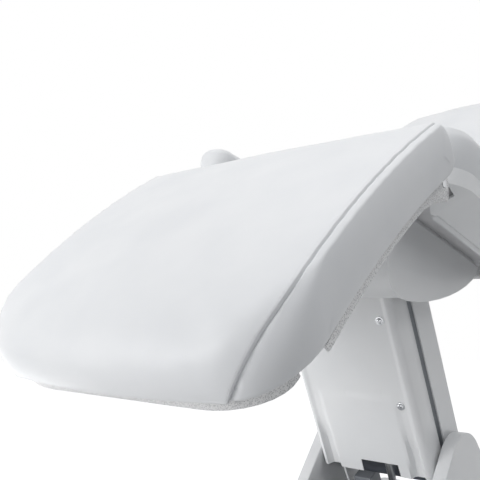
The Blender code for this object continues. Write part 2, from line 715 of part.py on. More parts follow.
def make_arm_beam():
    """Two side rails, a web and the two pivot hubs, welded into one piece."""
    ear = LIFT_DEPTH + PIN_RADIUS + 0.006
    outline = [(-HUB_RADIUS, 0.0), (HUB_RADIUS, 0.0), (HUB_RADIUS, ARM_LENGTH), (-HUB_RADIUS, ARM_LENGTH),
               (-HUB_RADIUS, LIFT_MOTOR_HEIGHT + 0.030), (-ear, LIFT_MOTOR_HEIGHT + 0.014),
               (-ear, LIFT_MOTOR_HEIGHT - 0.014), (-HUB_RADIUS, LIFT_MOTOR_HEIGHT - 0.040)]
    rails = [prism("arm_beam", outline, *sorted((s * RAIL_INNER, s * RAIL_OUTER))) for s in (-1, 1)]
    web = block("web", (-RAIL_INNER - 0.004, -0.008, 0.10), (RAIL_INNER + 0.004, 0.008, ARM_LENGTH - 0.10))
    beam = join(rails[0], web, rails[1])
    hub_end = ARM_HALF_WIDTH - HUB_END_GAP
    for height in (0.0, ARM_LENGTH):
        join(beam, cross_rod("hub", 0.0, height, -hub_end, hub_end, HUB_RADIUS + 0.0005, 32))
    for height in (0.0, ARM_LENGTH):
        cut(beam, cross_rod("bore", 0.0, height, -0.2, 0.2, SHAFT_RADIUS + RUNNING))
    inside = ARM_HALF_DEPTH - SHELL_WALL - TOUCH
    half = COVER_TAB / 2
    for x, height in SCREW_PLACES:
        join(beam, block("front_tab", (x - half, -inside, height - half), (x + half, 0.0, height + half)))
        cut(beam, rod("hole", (x, -ARM_HALF_DEPTH, height), (x, -inside + SCREW_DEPTH, height),
                      SCREW_RADIUS + TOUCH, 16))
    for x in (-SCREW_X, SCREW_X):
        for height in REAR_TAB_HEIGHTS:
            join(beam, block("rear_tab", (x - half, 0.0, height - half), (x + half, inside, height + half)))
    pin_y, pin_z = shaft_point(LIFT_MOTOR_HEIGHT, LIFT_DEPTH)
    return join(beam, cross_rod("pin", pin_y, pin_z, -RAIL_OUTER + 0.002, RAIL_OUTER - 0.002, PIN_RADIUS))


def make_motor_cable(arm, mats):
    """The motor's lead: down inside the front cover, a short loop below it and up to the junction box."""
    inside = -ARM_HALF_DEPTH + SHELL_WALL + CABLE_RADIUS + CABLE_CLEARANCE
    box_bottom = -HUB_RADIUS - 3 * TOUCH - JUNCTION_HEIGHT
    box_y = JUNCTION_FRONT + JUNCTION_DEPTH / 2
    route = [(CABLE_X, inside, CABLE_TOP), (CABLE_X, inside, CABLE_STRAIGHT), (CABLE_X, inside, CABLE_EXIT),
             (CABLE_X + 0.001, inside + 0.006, CABLE_BEND),
             (CABLE_X + 0.004, inside + 0.022, CABLE_LOOP + 0.001),
             (CABLE_X + 0.010, box_y - 0.004, CABLE_LOOP - 0.001),
             (CABLE_X + 0.011, box_y, box_bottom - 0.0048),
             (CABLE_X + 0.011, box_y, box_bottom - 0.0008)]
    curve = bpy.data.curves.new("motor_cable", "CURVE")
    curve.dimensions = "3D"
    curve.bevel_depth = CABLE_RADIUS
    curve.bevel_resolution = 2
    curve.use_fill_caps = True
    points = smooth_route(route, 4)
    spline = curve.splines.new("POLY")
    spline.points.add(len(points) - 1)
    for target, point in zip(spline.points, points):
        target.co = (*point, 1.0)
    cable = bpy.data.objects.new("motor_cable", curve)
    bpy.context.collection.objects.link(cable)
    cable.parent = arm
    curve.materials.append(mats["plastic"])


def smooth_route(route, steps):
    """Points on a smooth curve through the route's own points."""
    knots = [Vector(point) for point in route]
    knots = [knots[0] * 2 - knots[1]] + knots + [knots[-1] * 2 - knots[-2]]
    points = []
    for before, start, end, after in zip(knots, knots[1:], knots[2:], knots[3:]):
        for step in range(steps):
            t = step / steps
            points.append(0.5 * (2 * start + (end - before) * t
                                 + (2 * before - 5 * start + 4 * end - after) * t * t
                                 + (3 * start - before - 3 * end + after) * t ** 3))
    points.append(knots[-2])
    return points


def make_link(link, mats):
    """The parallel link that keeps the seat's angle."""
    near = LINK_X - LINK_WIDTH / 2
    far = LINK_X + LINK_WIDTH / 2
    outline = arc(0.0, 0.0, LINK_EYE_RADIUS, 180, 360, 10) + arc(0.0, ARM_LENGTH, LINK_EYE_RADIUS, 0, 180, 10)
    bar = prism("parallel_link", outline, near, far)
    for height in (0.0, ARM_LENGTH):
        cut(bar, cross_rod("bore", 0.0, height, near - 0.01, far + 0.01, LINK_PIN_RADIUS + RUNNING))
    finish(bar, link, mats["dark"])


def make_lift_drive(motor, slide, mats):
    """Lift motor and rod, in a frame at the motor's pin with the rod along -Z."""
    reach = LIFT_MOTOR_HEIGHT + LIFT_ANCHOR_DROP
    wide = LIFT_HOUSING_HALF_WIDTH
    deep = LIFT_HOUSING_HALF_DEPTH
    housing = block("lift_motor", (LIFT_X - wide, -deep, -LIFT_HOUSING_LOW),
                    (LIFT_X + wide, deep, LIFT_HOUSING_HIGH))
    round_edges(housing, 0.006)
    join(housing, rod("tube", (LIFT_X, 0.0, -LIFT_TUBE_END), (LIFT_X, 0.0, -LIFT_TUBE_START),
                      LIFT_TUBE_RADIUS))
    cut(housing, rod("bore", (LIFT_X, 0.0, -LIFT_TUBE_END * 1.3), (LIFT_X, 0.0, -LIFT_BORE_TOP),
                     LIFT_ROD_RADIUS + RUNNING))
    cut(housing, cross_rod("bore", 0.0, 0.0, LIFT_X - 0.1, LIFT_X + 0.1, PIN_RADIUS + RUNNING))
    finish(housing, motor, mats["black"])

    bar = rod("lift_rod", (LIFT_X, 0.0, -reach + LIFT_EYE_RADIUS * 0.6),
              (LIFT_X, 0.0, -LIFT_ROD_INSIDE), LIFT_ROD_RADIUS)
    join(bar, cross_rod("eye", 0.0, -reach, LIFT_X - LIFT_EYE_WIDTH / 2, LIFT_X + LIFT_EYE_WIDTH / 2,
                        LIFT_EYE_RADIUS))
    cut(bar, cross_rod("bore", 0.0, -reach, LIFT_X - 0.1, LIFT_X + 0.1, PIN_RADIUS + LIFT_PLAY))
    finish(bar, slide, mats["steel"])


def make_seat(seat, mats):
    """Seat uprights, frame, board, cushion, skirts, pod and hinge fittings, in the seat's tilted frame."""
    make_seat_cheeks(seat, mats)
    make_seat_frame(seat, mats)
    make_pod(seat, mats)

    plan = half_ring(SEAT_FRONT + BOARD_INSET, SEAT_BACK, SEAT_HALF_WIDTH - BOARD_INSET,
                     SEAT_HALF_WIDTH - BOARD_INSET, SEAT_CORNER - BOARD_INSET, 0.010, 1, 6)
    board = ring_solid("seat_board", [(plan, BOARD_BOTTOM), (plan, BOARD_TOP)], plain)
    finish(board, seat, mats["board"])

    bottom = BOARD_TOP + TOUCH
    levels = pad_levels(bottom, bottom + SEAT_CUSHION_HEIGHT, SEAT_CROWN, 0.006, 0.012)
    pad = cushion("seat_cushion", SEAT_FRONT, SEAT_BACK, SEAT_HALF_WIDTH, SEAT_HALF_WIDTH,
                  SEAT_CORNER, 0.020, levels, plain)
    finish(pad, seat, mats["leather"])

    for side, sign in (("left", 1), ("right", -1)):
        make_skirt(side, sign, seat, mats)
        make_hinge_fittings(side, sign, seat, mats)


def make_seat_cheeks(seat, mats):
    """The two steel uprights that carry the seat on the upper shaft."""
    top = TUBE_TOP
    front = SEAT_CHEEK_FRONT
    back = SEAT_CHEEK_BACK
    outline = arc(0.0, 0.0, CHEEK_HUB_RADIUS, 205, 315, 8)
    outline += [(back, TUBE_BOTTOM + 0.004), (back, top), (front, top), (front, TUBE_BOTTOM + 0.004)]
    link_pin = Matrix.Rotation(SEAT_TILT, 4, "X") @ LINK_SHIFT
    for side, sign in (("left", 1), ("right", -1)):
        inner, outer = sorted((sign * CHEEK_INNER, sign * CHEEK_OUTER))
        cheek = prism(f"seat_cheek_{side}", outline, inner, outer)
        cut(cheek, cross_rod("bore", 0.0, 0.0, inner - 0.01, outer + 0.01, SHAFT_RADIUS + RUNNING))
        if side == "right":
            end = LINK_X + LINK_WIDTH / 2 + 0.004
            join(cheek, cross_rod("stud", link_pin.y, link_pin.z, inner + 0.002, end, LINK_PIN_RADIUS))
        finish(cheek, seat, mats["dark"])
    finish(cross_rod("upper_shaft", 0.0, 0.0, -CHEEK_OUTER, CHEEK_OUTER, SHAFT_RADIUS), seat, mats["steel"])


def make_seat_frame(seat, mats):
    """Two cross tubes below two flat strips; the front tube holds the leg hinge, a strip the drives."""
    half = CROSS_TUBE / 2
    front = block("seat_front_tube", (-SEAT_LUG_OUTER, FRONT_TUBE_Y - half, TUBE_BOTTOM),
                  (SEAT_LUG_OUTER, FRONT_TUBE_Y + half, TUBE_TOP))
    join_leg_lugs(front)
    finish(front, seat, mats["powder"])
    reach = POST_INNER - TOUCH
    rear = block("seat_rear_tube", (-reach, REAR_TUBE_Y - half, TUBE_BOTTOM),
                 (reach, REAR_TUBE_Y + half, TUBE_TOP))
    finish(rear, seat, mats["powder"])
    for side, sign in (("left", 1), ("right", -1)):
        near, far = strip_span(sign)
        strip = block(f"seat_strip_{side}", (near, FRONT_TUBE_Y - half, STRIP_BOTTOM),
                      (far, REAR_TUBE_Y + half, STRIP_TOP))
        if side == "right":
            join_drive_bracket(strip, LEG_DRIVE_X, LEG_DRIVE_Y, LEG_DRIVE_Z)
            join_drive_bracket(strip, BACK_DRIVE_X, BACK_DRIVE_Y, BACK_DRIVE_Z)
        finish(strip, seat, mats["powder"])


def strip_span(sign):
    """The X limits of one of the seat frame's flat strips."""
    outer = CHEEK_OUTER + 0.002
    return sorted((sign * (outer - STRIP_WIDTH), sign * outer))


def leg_hinge_in_seat():
    """The leg hinge's place in the seat's frame."""
    place = LEG_HINGE - UPPER_PIVOT
    return Matrix.Rotation(SEAT_TILT, 4, "X") @ place


def join_leg_lugs(frame):
    """Lugs in front of the front tube that hold the leg rest's pins."""
    hinge = leg_hinge_in_seat()
    half = CROSS_TUBE / 2
    outline = arc(hinge.y, hinge.z, SEAT_LUG_RADIUS, 60, 280, 12)
    outline += [(FRONT_TUBE_Y + half * 0.8, TUBE_BOTTOM + 0.001),
                (FRONT_TUBE_Y + half * 0.8, TUBE_TOP - 0.001),
                (FRONT_TUBE_Y - half - 0.004, hinge.z + SEAT_LUG_RADIUS * 0.7)]
    for sign in (-1, 1):
        near, far = sorted((sign * SEAT_LUG_OUTER, sign * (SEAT_LUG_OUTER - SEAT_LUG_THICKNESS)))
        join(frame, prism("lug", outline, near, far))
        cut(frame, cross_rod("bore", hinge.y, hinge.z, near - 0.005, far + 0.005, HINGE_PIN_RADIUS + TOUCH))


def join_drive_bracket(frame, x, y, z):
    """A hanger below the seat board with a stud for a drive's rear eye."""
    side = x + DRIVE_HOUSING / 2 + 0.002
    far = side + DRIVE_BRACKET
    outline = arc(y, z, DRIVE_STUD_RADIUS + 0.007, 180, 360, 8)
    reach = BRACKET_HALF_LENGTH
    outline += [(y + reach, STRIP_TOP - 0.0008), (y - reach, STRIP_TOP - 0.0008)]
    hanger = prism("hanger", outline, side, far)
    foot_reach = reach - 0.002
    join(hanger, block("foot", (side + 0.002, y - foot_reach, STRIP_BOTTOM + 0.0003),
                       (-CHEEK_INNER - 0.004, y + foot_reach, STRIP_TOP - 0.0003)))
    join(hanger, cross_rod("stud", y, z, x - DRIVE_HOUSING / 2 - 0.003, far - 0.001, DRIVE_STUD_RADIUS))
    join(frame, hanger)


def make_pod(seat, mats):
    """The moulded cover round the seat uprights: two cheeks and a round front, open below and behind."""
    top = BOARD_BOTTOM - TOUCH
    bend = arc(POD_FRONT + POD_BEND, POD_BOTTOM + POD_BEND, POD_BEND, 180, 270, 6)
    lower = [(POD_FRONT, POD_RIDGE)] + bend
    lower += keel_curve(bend[-1])
    ends = [(POD_TAIL, top), (POD_FRONT, top)]
    inside = arc(POD_FRONT + POD_BEND, POD_BOTTOM + POD_BEND, POD_BEND - POD_WALL, 270, 180, 6)
    front_lower = [(POD_FRONT, POD_RIDGE)] + bend + inside + [(POD_FRONT + POD_WALL, POD_RIDGE)]
    front_ends = [(POD_FRONT + POD_WALL, top), (POD_FRONT, top)]
    pod = shouldered_plate("pod_cover", front_lower, front_ends, -POD_WALL / 2, POD_WALL / 2, True)
    for sign in (-1, 1):
        join(pod, shouldered_plate("cheek", lower, ends, -POD_WALL, 0.0, False, sign))
    for sign in (-1, 1):
        near, far = strip_span(sign)
        cut(pod, block("strip", (near - 0.001, POD_FRONT - 0.02, TUBE_TOP - 0.001),
                       (far + 0.001, POD_FRONT + 0.05, top + 0.1)))
    for y in (LEG_DRIVE_Y, BACK_DRIVE_Y):
        reach = BRACKET_HALF_LENGTH + 0.001
        cut(pod, block("foot", (-POD_OUTER - 0.02, y - reach, TUBE_TOP - 0.001),
                       (-CHEEK_INNER, y + reach, top + 0.1)))
    finish(pod, seat, mats["plastic"])


def keel_curve(start):
    """The pod's lower edge: a smooth curve from the end of its front bend up to its tail."""
    knots = [Vector(start), Vector((POD_KEEL_REACH, POD_BOTTOM)),
             Vector((POD_TAIL - POD_TAIL_SWELL, POD_RIDGE - POD_TAIL_DROP)), Vector((POD_TAIL, POD_RIDGE))]
    steps = 10
    points = []
    for step in range(1, steps + 1):
        t = step / steps
        u = 1 - t
        place = knots[0] * u ** 3 + knots[1] * 3 * u * u * t + knots[2] * 3 * u * t * t + knots[3] * t ** 3
        points.append((place.x, place.y))
    return points


def pod_reach(z):
    """Half width of the pod at a height: upright up to its ridge, then leaning in to the board."""
    share = max(0.0, z - POD_RIDGE) / (BOARD_BOTTOM - TOUCH - POD_RIDGE)
    return POD_OUTER - POD_SHOULDER * share


def shouldered_plate(name, lower, ends, inset, outset, across, sign=1):
    """A plate whose part above the ridge leans in; across spans both sides, else it is one side's cheek."""
    boundary = lower + ends
    shape = bmesh.new()
    first = []
    second = []
    for y, z in boundary:
        reach = pod_reach(z)
        low_x = -reach - inset if across else sign * (reach + inset)
        high_x = reach - outset if across else sign * (reach + outset)
        first.append(shape.verts.new((low_x, y, z)))
        second.append(shape.verts.new((high_x, y, z)))
    count = len(boundary)
    split = len(lower)
    for ring in (first, second):
        shape.faces.new(ring[:split])
        shape.faces.new((ring[0], ring[split - 1], ring[split], ring[split + 1]))
    for index in range(count):
        after = (index + 1) % count
        shape.faces.new((first[index], first[after], second[after], second[index]))
    return new_object(name, shape)


def make_skirt(side, sign, seat, mats):
    """A moulded rim below one side of the seat, with a lip and a face that slants in below it."""
    board_half = SEAT_HALF_WIDTH - BOARD_INSET
    corner = SEAT_CORNER - BOARD_INSET
    front = SEAT_FRONT + BOARD_INSET
    path = [((board_half, SKIRT_BACK), (1.0, 0.0))]
    steps = 8
    for step in range(steps + 1):
        angle = math.radians(-SKIRT_WRAP * step / steps)
        out = (math.cos(angle), math.sin(angle))
        path.append(((board_half - corner + corner * out[0], front + corner + corner * out[1]), out))
    lip_top = BOARD_TOP
    lip_low = BOARD_TOP - SKIRT_LIP
    inner_low = lip_low - SKIRT_DROP
    out = TOUCH + SKIRT_WALL
    section = [(TOUCH, lip_top), (out, lip_top), (out, lip_low), (-SKIRT_REACH, inner_low),
               (-SKIRT_REACH, inner_low + SKIRT_WALL), (TOUCH, lip_low + SKIRT_WALL)]
    shape = bmesh.new()
    loops = []
    for (x, y), (nx, ny) in path:
        loops.append([shape.verts.new((sign * (x + nx * o), y + ny * o, z)) for o, z in section])
    for first, second in zip(loops, loops[1:]):
        for index in range(len(section)):
            after = (index + 1) % len(section)
            shape.faces.new((first[index], first[after], second[after], second[index]))
    shape.faces.new(loops[0])
    shape.faces.new(loops[-1])
    skirt = new_object(f"seat_skirt_{side}", shape)
    hinge = leg_hinge_in_seat()
    near, far = sorted((sign * (SEAT_LUG_OUTER - SEAT_LUG_THICKNESS - 0.004),
                        sign * (SEAT_LUG_OUTER + 0.004)))
    cut(skirt, block("slot", (near, hinge.y - 0.03, hinge.z - LUG_RADIUS - 0.01),
                     (far, FRONT_TUBE_Y + CROSS_TUBE, lip_low - 0.0006)))
    near, far = sorted((0.0, sign * (SEAT_LUG_OUTER + 0.002)))
    reach = CROSS_TUBE / 2 + 0.002
    cut(skirt, block("slot", (near, FRONT_TUBE_Y - reach, TUBE_BOTTOM - 0.003),
                     (far, FRONT_TUBE_Y + reach, TUBE_TOP + 0.002)))
    finish(skirt, seat, mats["plastic"])


def make_hinge_fittings(side, sign, seat, mats):
    """Leg hinge pin, back hinge plate and pin, and the armrest's post on one side."""
    hinge = leg_hinge_in_seat()
    near, far = sorted((sign * (SEAT_LUG_OUTER - SEAT_LUG_THICKNESS - 0.002),
                        sign * (LEG_TRAY_HALF_WIDTH + 0.001)))
    finish(cross_rod(f"leg_hinge_pin_{side}", hinge.y, hinge.z, near, far, HINGE_PIN_RADIUS),
           seat, mats["steel"])

    outline = [(REAR_TUBE_Y - CROSS_TUBE / 2, TUBE_TOP + TOUCH),
               (REAR_TUBE_Y + CROSS_TUBE / 2, TUBE_TOP + TOUCH)]
    outline += arc(BACK_HINGE_Y, BACK_HINGE_Z, HINGE_HUB_RADIUS, -35, 150, 12)
    near, far = sorted((sign * HINGE_PLATE_INNER, sign * (HINGE_PLATE_INNER + HINGE_PLATE_THICKNESS)))
    plate = prism(f"back_hinge_plate_{side}", outline, near, far)
    cut(plate, cross_rod("bore", BACK_HINGE_Y, BACK_HINGE_Z, near - 0.005, far + 0.005,
                         HINGE_PIN_RADIUS + TOUCH))
    finish(plate, seat, mats["powder"])
    near, far = sorted((sign * HINGE_PLATE_INNER, sign * (BACK_ARM_INNER + HINGE_PLATE_THICKNESS)))
    finish(cross_rod(f"back_hinge_pin_{side}", BACK_HINGE_Y, BACK_HINGE_Z, near, far, HINGE_PIN_RADIUS),
           seat, mats["steel"])

    half = POST_WIDTH / 2
    top = arc(ARMREST_PIVOT_Y, ARMREST_PIVOT_Z, half, 0, 180, 8)
    outline = [(REAR_TUBE_Y - half, TUBE_BOTTOM), (REAR_TUBE_Y + half, TUBE_BOTTOM)] + top
    near, far = sorted((sign * POST_INNER, sign * (POST_INNER + POST_THICKNESS)))
    post = prism(f"armrest_post_{side}", outline, near, far)
    near, far = sorted((sign * (POST_INNER + 0.002),
                        sign * (POST_INNER + POST_THICKNESS + ARMREST_BAR + 0.002)))
    join(post, cross_rod("stud", ARMREST_PIVOT_Y, ARMREST_PIVOT_Z, near, far, PIN_RADIUS))
    finish(post, seat, mats["powder"])


def channel(name, place, start, end, half, top, thickness, depths, steps):
    """A bent tray: a plate below a pad with a flange down each side, from its first depth to its second."""
    inner = half - thickness
    low = top - thickness
    shape = bmesh.new()
    loops = []
    for step in range(steps + 1):
        share = step / steps
        s = start + (end - start) * share
        deep = top - depths[0] - (depths[1] - depths[0]) * share
        section = [(-half, top), (half, top), (half, deep), (inner, deep), (inner, low),
                   (-inner, low), (-inner, deep), (-half, deep)]
        loops.append([shape.verts.new(place(x, s, height)) for x, height in section])
    for first, second in zip(loops, loops[1:]):
        for index in range(len(section)):
            after = (index + 1) % len(section)
            shape.faces.new((first[index], first[after], second[after], second[index]))
    shape.faces.new(loops[0])
    shape.faces.new(loops[-1])
    return new_object(name, shape)


def make_leg(leg, mats):
    """Leg rest: bent tray with flanges and lugs, foot-end board and cushion."""
    make_leg_frame(leg, mats)
    under = -LEG_THICKNESS - TOUCH
    half = LEG_HALF_WIDTH_FOOT - LEG_BOARD_SIDE_GAP
    room = LEG_BOARD_WIDTH + LEG_BOARD_LIP - LEG_BOARD_HEEL
    plan = oval_ring(LEG_BOARD_START, LEG_LENGTH + LEG_BOARD_LIP, half, LEG_BOARD_HEEL,
                     LEG_BOARD_CORNER_REACH, min(LEG_BOARD_CORNER, 0.95 * room), 8)
    rings = [(plan, under - LEG_BOARD_THICKNESS), (plan, under)]
    finish(ring_solid("leg_end_board", rings, leg_place), leg, mats["powder"])

    levels = pad_levels(-LEG_THICKNESS, 0.0, 0.016, 0.010, 0.020)
    pad = cushion("leg_cushion", 0.0, LEG_LENGTH, LEG_HALF_WIDTH_HINGE, LEG_HALF_WIDTH_FOOT,
                  LEG_CORNER_HINGE, LEG_CORNER_FOOT, levels, leg_place, 12)
    finish(pad, leg, mats["leather"])


def make_leg_frame(leg, mats):
    """The leg rest's tray: a bent plate, two side flanges, two lugs and the drive's lever."""
    top = -LEG_THICKNESS - TOUCH
    half = LEG_TRAY_HALF_WIDTH
    frame = channel("leg_frame", leg_place, LEG_TRAY_START, LEG_TRAY_END, half, top, TRAY_THICKNESS,
                    (LEG_FLANGE_HEIGHT, LEG_FLANGE_FOOT), 8)
    lug_top = LEG_TOP + top
    near_y, near_z = leg_place(0.0, LEG_TRAY_START + 0.020, top - 0.0005)[1:]
    outline = arc(0.0, 0.0, LUG_RADIUS, -90, 40, 8)
    outline += [(0.004, lug_top - 0.0005), (near_y, near_z), (near_y, near_z - LEG_FLANGE_HEIGHT)]
    for sign in (-1, 1):
        near, far = sorted((sign * half, sign * (half - LEG_LUG_THICKNESS)))
        join(frame, prism("lug", outline, near, far))
        cut(frame, cross_rod("bore", 0.0, 0.0, near - 0.005, far + 0.005, HINGE_PIN_RADIUS + RUNNING))
    side = LEG_DRIVE_X + DRIVE_EYE_WIDTH / 2 + 0.002
    far = side + DRIVE_BRACKET
    outline = arc(LEG_LEVER_Y, LEG_LEVER_Z, DRIVE_STUD_RADIUS + 0.006, 180, 360, 8)
    outline += [(LEG_LEVER_Y - 0.006, lug_top - 0.006), (LEG_LEVER_Y - 0.050, lug_top - 0.0075)]
    lever = prism("lever", outline, side, far)
    stud_end = LEG_DRIVE_X - DRIVE_EYE_WIDTH / 2 - 0.002
    join(lever, cross_rod("stud", LEG_LEVER_Y, LEG_LEVER_Z, stud_end, far - 0.001, DRIVE_STUD_RADIUS))
    join(frame, lever)
    finish(frame, leg, mats["powder"])


def make_drive(name, motor, slide, x, reach, stroke_in, play, mats):
    """A linear drive in a frame at its rear stud, with the rod along +Z to its eye at reach."""
    half = DRIVE_HOUSING / 2
    body_end = reach - stroke_in - play - DRIVE_STUD_RADIUS - DRIVE_EYE_WALL - 0.012
    housing = block(f"{name}_motor", (x - half, -half, -0.016), (x + half, half, 0.070))
    round_edges(housing, 0.006)
    join(housing, rod("tube", (x, 0.0, 0.060), (x, 0.0, body_end), DRIVE_TUBE_RADIUS))
    cut(housing, rod("bore", (x, 0.0, 0.030), (x, 0.0, body_end + 0.05), DRIVE_ROD_RADIUS + RUNNING))
    cut(housing, cross_rod("bore", 0.0, 0.0, x - 0.1, x + 0.1, DRIVE_STUD_RADIUS + RUNNING))
    finish(housing, motor, mats["black"])

    hole = DRIVE_STUD_RADIUS + play
    eye = hole + DRIVE_EYE_WALL
    bar = rod(f"{name}_rod", (x, 0.0, 0.036 + stroke_in), (x, 0.0, reach - hole - DRIVE_EYE_WALL * 0.4),
              DRIVE_ROD_RADIUS)
    join(bar, cross_rod("eye", 0.0, reach, x - DRIVE_EYE_WIDTH / 2, x + DRIVE_EYE_WIDTH / 2, eye))
    cut(bar, cross_rod("bore", 0.0, reach, x - 0.1, x + 0.1, hole))
    finish(bar, slide, mats["steel"])


def make_back(back, mats):
    """Back rest: frame with side arms, board and cushion, in its frame at the back hinge."""
    under = -2 * BACK_HALF_THICKNESS - TOUCH
    rings = []
    for height in (under - BACK_BOARD_THICKNESS, under):
        rings.append((half_ring(BACK_BOARD_START, BACK_BOARD_END, BACK_HALF_WIDTH_LOW - 0.016,
                                BACK_HALF_WIDTH_TOP - 0.016, 0.010, 0.050, 18, 5), height))
    finish(ring_solid("back_board", rings, back_place), back, mats["board"])
    make_back_cushion(back, mats)
    make_back_frame(back, under - BACK_BOARD_THICKNESS - TOUCH, mats)


def make_back_cushion(back, mats):
    """The back pad with a round lower end about the hinge."""
    levels = pad_levels(-2 * BACK_HALF_THICKNESS, 0.0, 0.014, 0.010, 0.020)
    pad = cushion("back_cushion", 0.0, BACK_LENGTH, BACK_HALF_WIDTH_LOW, BACK_HALF_WIDTH_TOP,
                  0.030, 0.060, levels, back_place, 20)
    keep = BACK_HALF_THICKNESS - 0.004
    for vertex in pad.data.vertices:
        if vertex.co.y < keep:
            share = min((keep - vertex.co.y) / keep, 1.0)
            level = min(max(vertex.co.z, -keep), keep)
            nose = -math.sqrt(keep ** 2 - level ** 2)
            vertex.co.y = keep * (1 - share) + nose * share
            vertex.co.z = level * share + vertex.co.z * (1 - share)
    finish(pad, back, mats["leather"])


def make_back_frame(back, top, mats):
    """Bent tray, cross bars, side arms to the hinge pins, the drive's lever and headrest sockets."""
    low = top - BACK_RAIL
    start = BACK_BOARD_START
    end = BACK_BOARD_END - 0.020
    frame = channel("back_frame", back_place, start, end, BACK_TRAY_HALF_WIDTH, top, TRAY_THICKNESS,
                    (BACK_RAIL, BACK_RAIL), 12)
    arm_outer = BACK_ARM_INNER + HINGE_PLATE_THICKNESS
    lower_bar = bent_bar("bar", -arm_outer + 0.001, arm_outer - 0.001, start + 0.010, start + 0.034,
                         low + 0.001, top - 0.001)
    half = BACK_TRAY_HALF_WIDTH - TRAY_THICKNESS / 2
    upper_bar = bent_bar("bar", -half, half, end - 0.030, end - 0.006, low + 0.001, top - 0.001)
    join(frame, lower_bar, upper_bar)
    corner = back_place(0.0, start + 0.004, low - 0.001)
    corner_far = back_place(0.0, start + 0.040, low - 0.001)
    corner_top = back_place(0.0, start + 0.040, top)
    lever_low = back_place(0.0, start + 0.028, low + 0.004)
    lever_top = back_place(0.0, start + 0.028, top - 0.006)
    outline = arc(0.0, 0.0, HINGE_HUB_RADIUS, 30, 240, 12)
    outline += [(corner[1], corner[2]), (corner_far[1], corner_far[2]), (corner_top[1], corner_top[2])]
    for sign in (-1, 1):
        near, far = sorted((sign * BACK_ARM_INNER, sign * arm_outer))
        join(frame, prism("side_arm", outline, near, far))
        cut(frame, cross_rod("bore", 0.0, 0.0, near - 0.0005, far + 0.005, HINGE_PIN_RADIUS + RUNNING))
    side = BACK_DRIVE_X - DRIVE_EYE_WIDTH / 2 - 0.002
    far = side - DRIVE_BRACKET
    outline = arc(BACK_LEVER_Y, BACK_LEVER_Z, DRIVE_STUD_RADIUS + 0.006, 90, 300, 10)
    outline += [(lever_low[1], lever_low[2]), (lever_top[1], lever_top[2])]
    lever = prism("lever", outline, far, side)
    stud_end = BACK_DRIVE_X + DRIVE_EYE_WIDTH / 2 + 0.002
    join(lever, cross_rod("stud", BACK_LEVER_Y, BACK_LEVER_Z, far + 0.001, stud_end, DRIVE_STUD_RADIUS))
    join(frame, lever)
    join_head_sockets(frame)
    finish(frame, back, mats["powder"])


def bent_bar(name, x_low, x_high, start, end, low, high):
    """A bar that follows the back rest's arc."""
    steps = max(1, round((end - start) / 0.09))
    shape = bmesh.new()
    loops = []
    for step in range(steps + 1):
        s = start + (end - start) * step / steps
        loops.append([shape.verts.new(back_place(x, s, height)) for x, height in
                      ((x_low, low), (x_high, low), (x_high, high), (x_low, high))])
    for first, second in zip(loops, loops[1:]):
        for index in range(4):
            after = (index + 1) % 4
            shape.faces.new((first[index], first[after], second[after], second[index]))
    shape.faces.new(loops[0])
    shape.faces.new(loops[-1])
    return new_object(name, shape)


def head_map():
    """The headrest's frame at the top end of the back rest, in the back rest's frame."""
    return Matrix.Translation(back_place(0.0, BACK_LENGTH, 0.0)) @ Matrix.Rotation(-BACK_TURN, 4, "X")


def join_head_sockets(frame):
    """Two tubes on the upper cross bar that guide the headrest's rods."""
    place = head_map()
    socket_end = -0.012
    for sign in (-1, 1):
        start = place @ Vector((sign * HEAD_ROD_X, socket_end - HEAD_SOCKET_LENGTH - 0.035, -HEAD_ROD_DEPTH))
        end = place @ Vector((sign * HEAD_ROD_X, socket_end, -HEAD_ROD_DEPTH))
        join(frame, rod("socket", start, end, HEAD_SOCKET_RADIUS))
        far = place @ Vector((sign * HEAD_ROD_X, socket_end + 0.3, -HEAD_ROD_DEPTH))
        near = place @ Vector((sign * HEAD_ROD_X, socket_end - 0.4, -HEAD_ROD_DEPTH))
        cut(frame, rod("bore", near, far, HEAD_ROD_RADIUS + RUNNING))


def make_headrest(head, mats):
    """Headrest cushion on a plate with two rods, in the headrest's frame."""
    low = HEAD_GAP
    high = HEAD_GAP + HEAD_LENGTH
    plate_top = -HEAD_THICKNESS - TOUCH
    plate = block("headrest_bracket", (-HEAD_ROD_X - 0.015, low + 0.012, plate_top - HEAD_PLATE_THICKNESS),
                  (HEAD_ROD_X + 0.015, high - 0.030, plate_top))
    drop = block("drop", (-HEAD_ROD_X - 0.012, low + 0.012, -HEAD_ROD_DEPTH - HEAD_ROD_RADIUS - 0.003),
                 (HEAD_ROD_X + 0.012, low + 0.022, plate_top - 0.001))
    join(plate, drop)
    for sign in (-1, 1):
        join(plate, rod("rod", (sign * HEAD_ROD_X, low + 0.016 - HEAD_ROD_LENGTH, -HEAD_ROD_DEPTH),
                        (sign * HEAD_ROD_X, low + 0.017, -HEAD_ROD_DEPTH), HEAD_ROD_RADIUS))
    finish(plate, head, mats["steel"])
    levels = pad_levels(-HEAD_THICKNESS, -0.012, 0.012, 0.008, 0.014)
    levels = [(min(inset, HEAD_LENGTH / 2 - 0.012), height) for inset, height in levels]
    pad = cushion("headrest_cushion", low, high, HEAD_HALF_WIDTH, HEAD_HALF_WIDTH, 0.040, 0.040,
                  levels, plain, 4)
    finish(pad, head, mats["leather"])


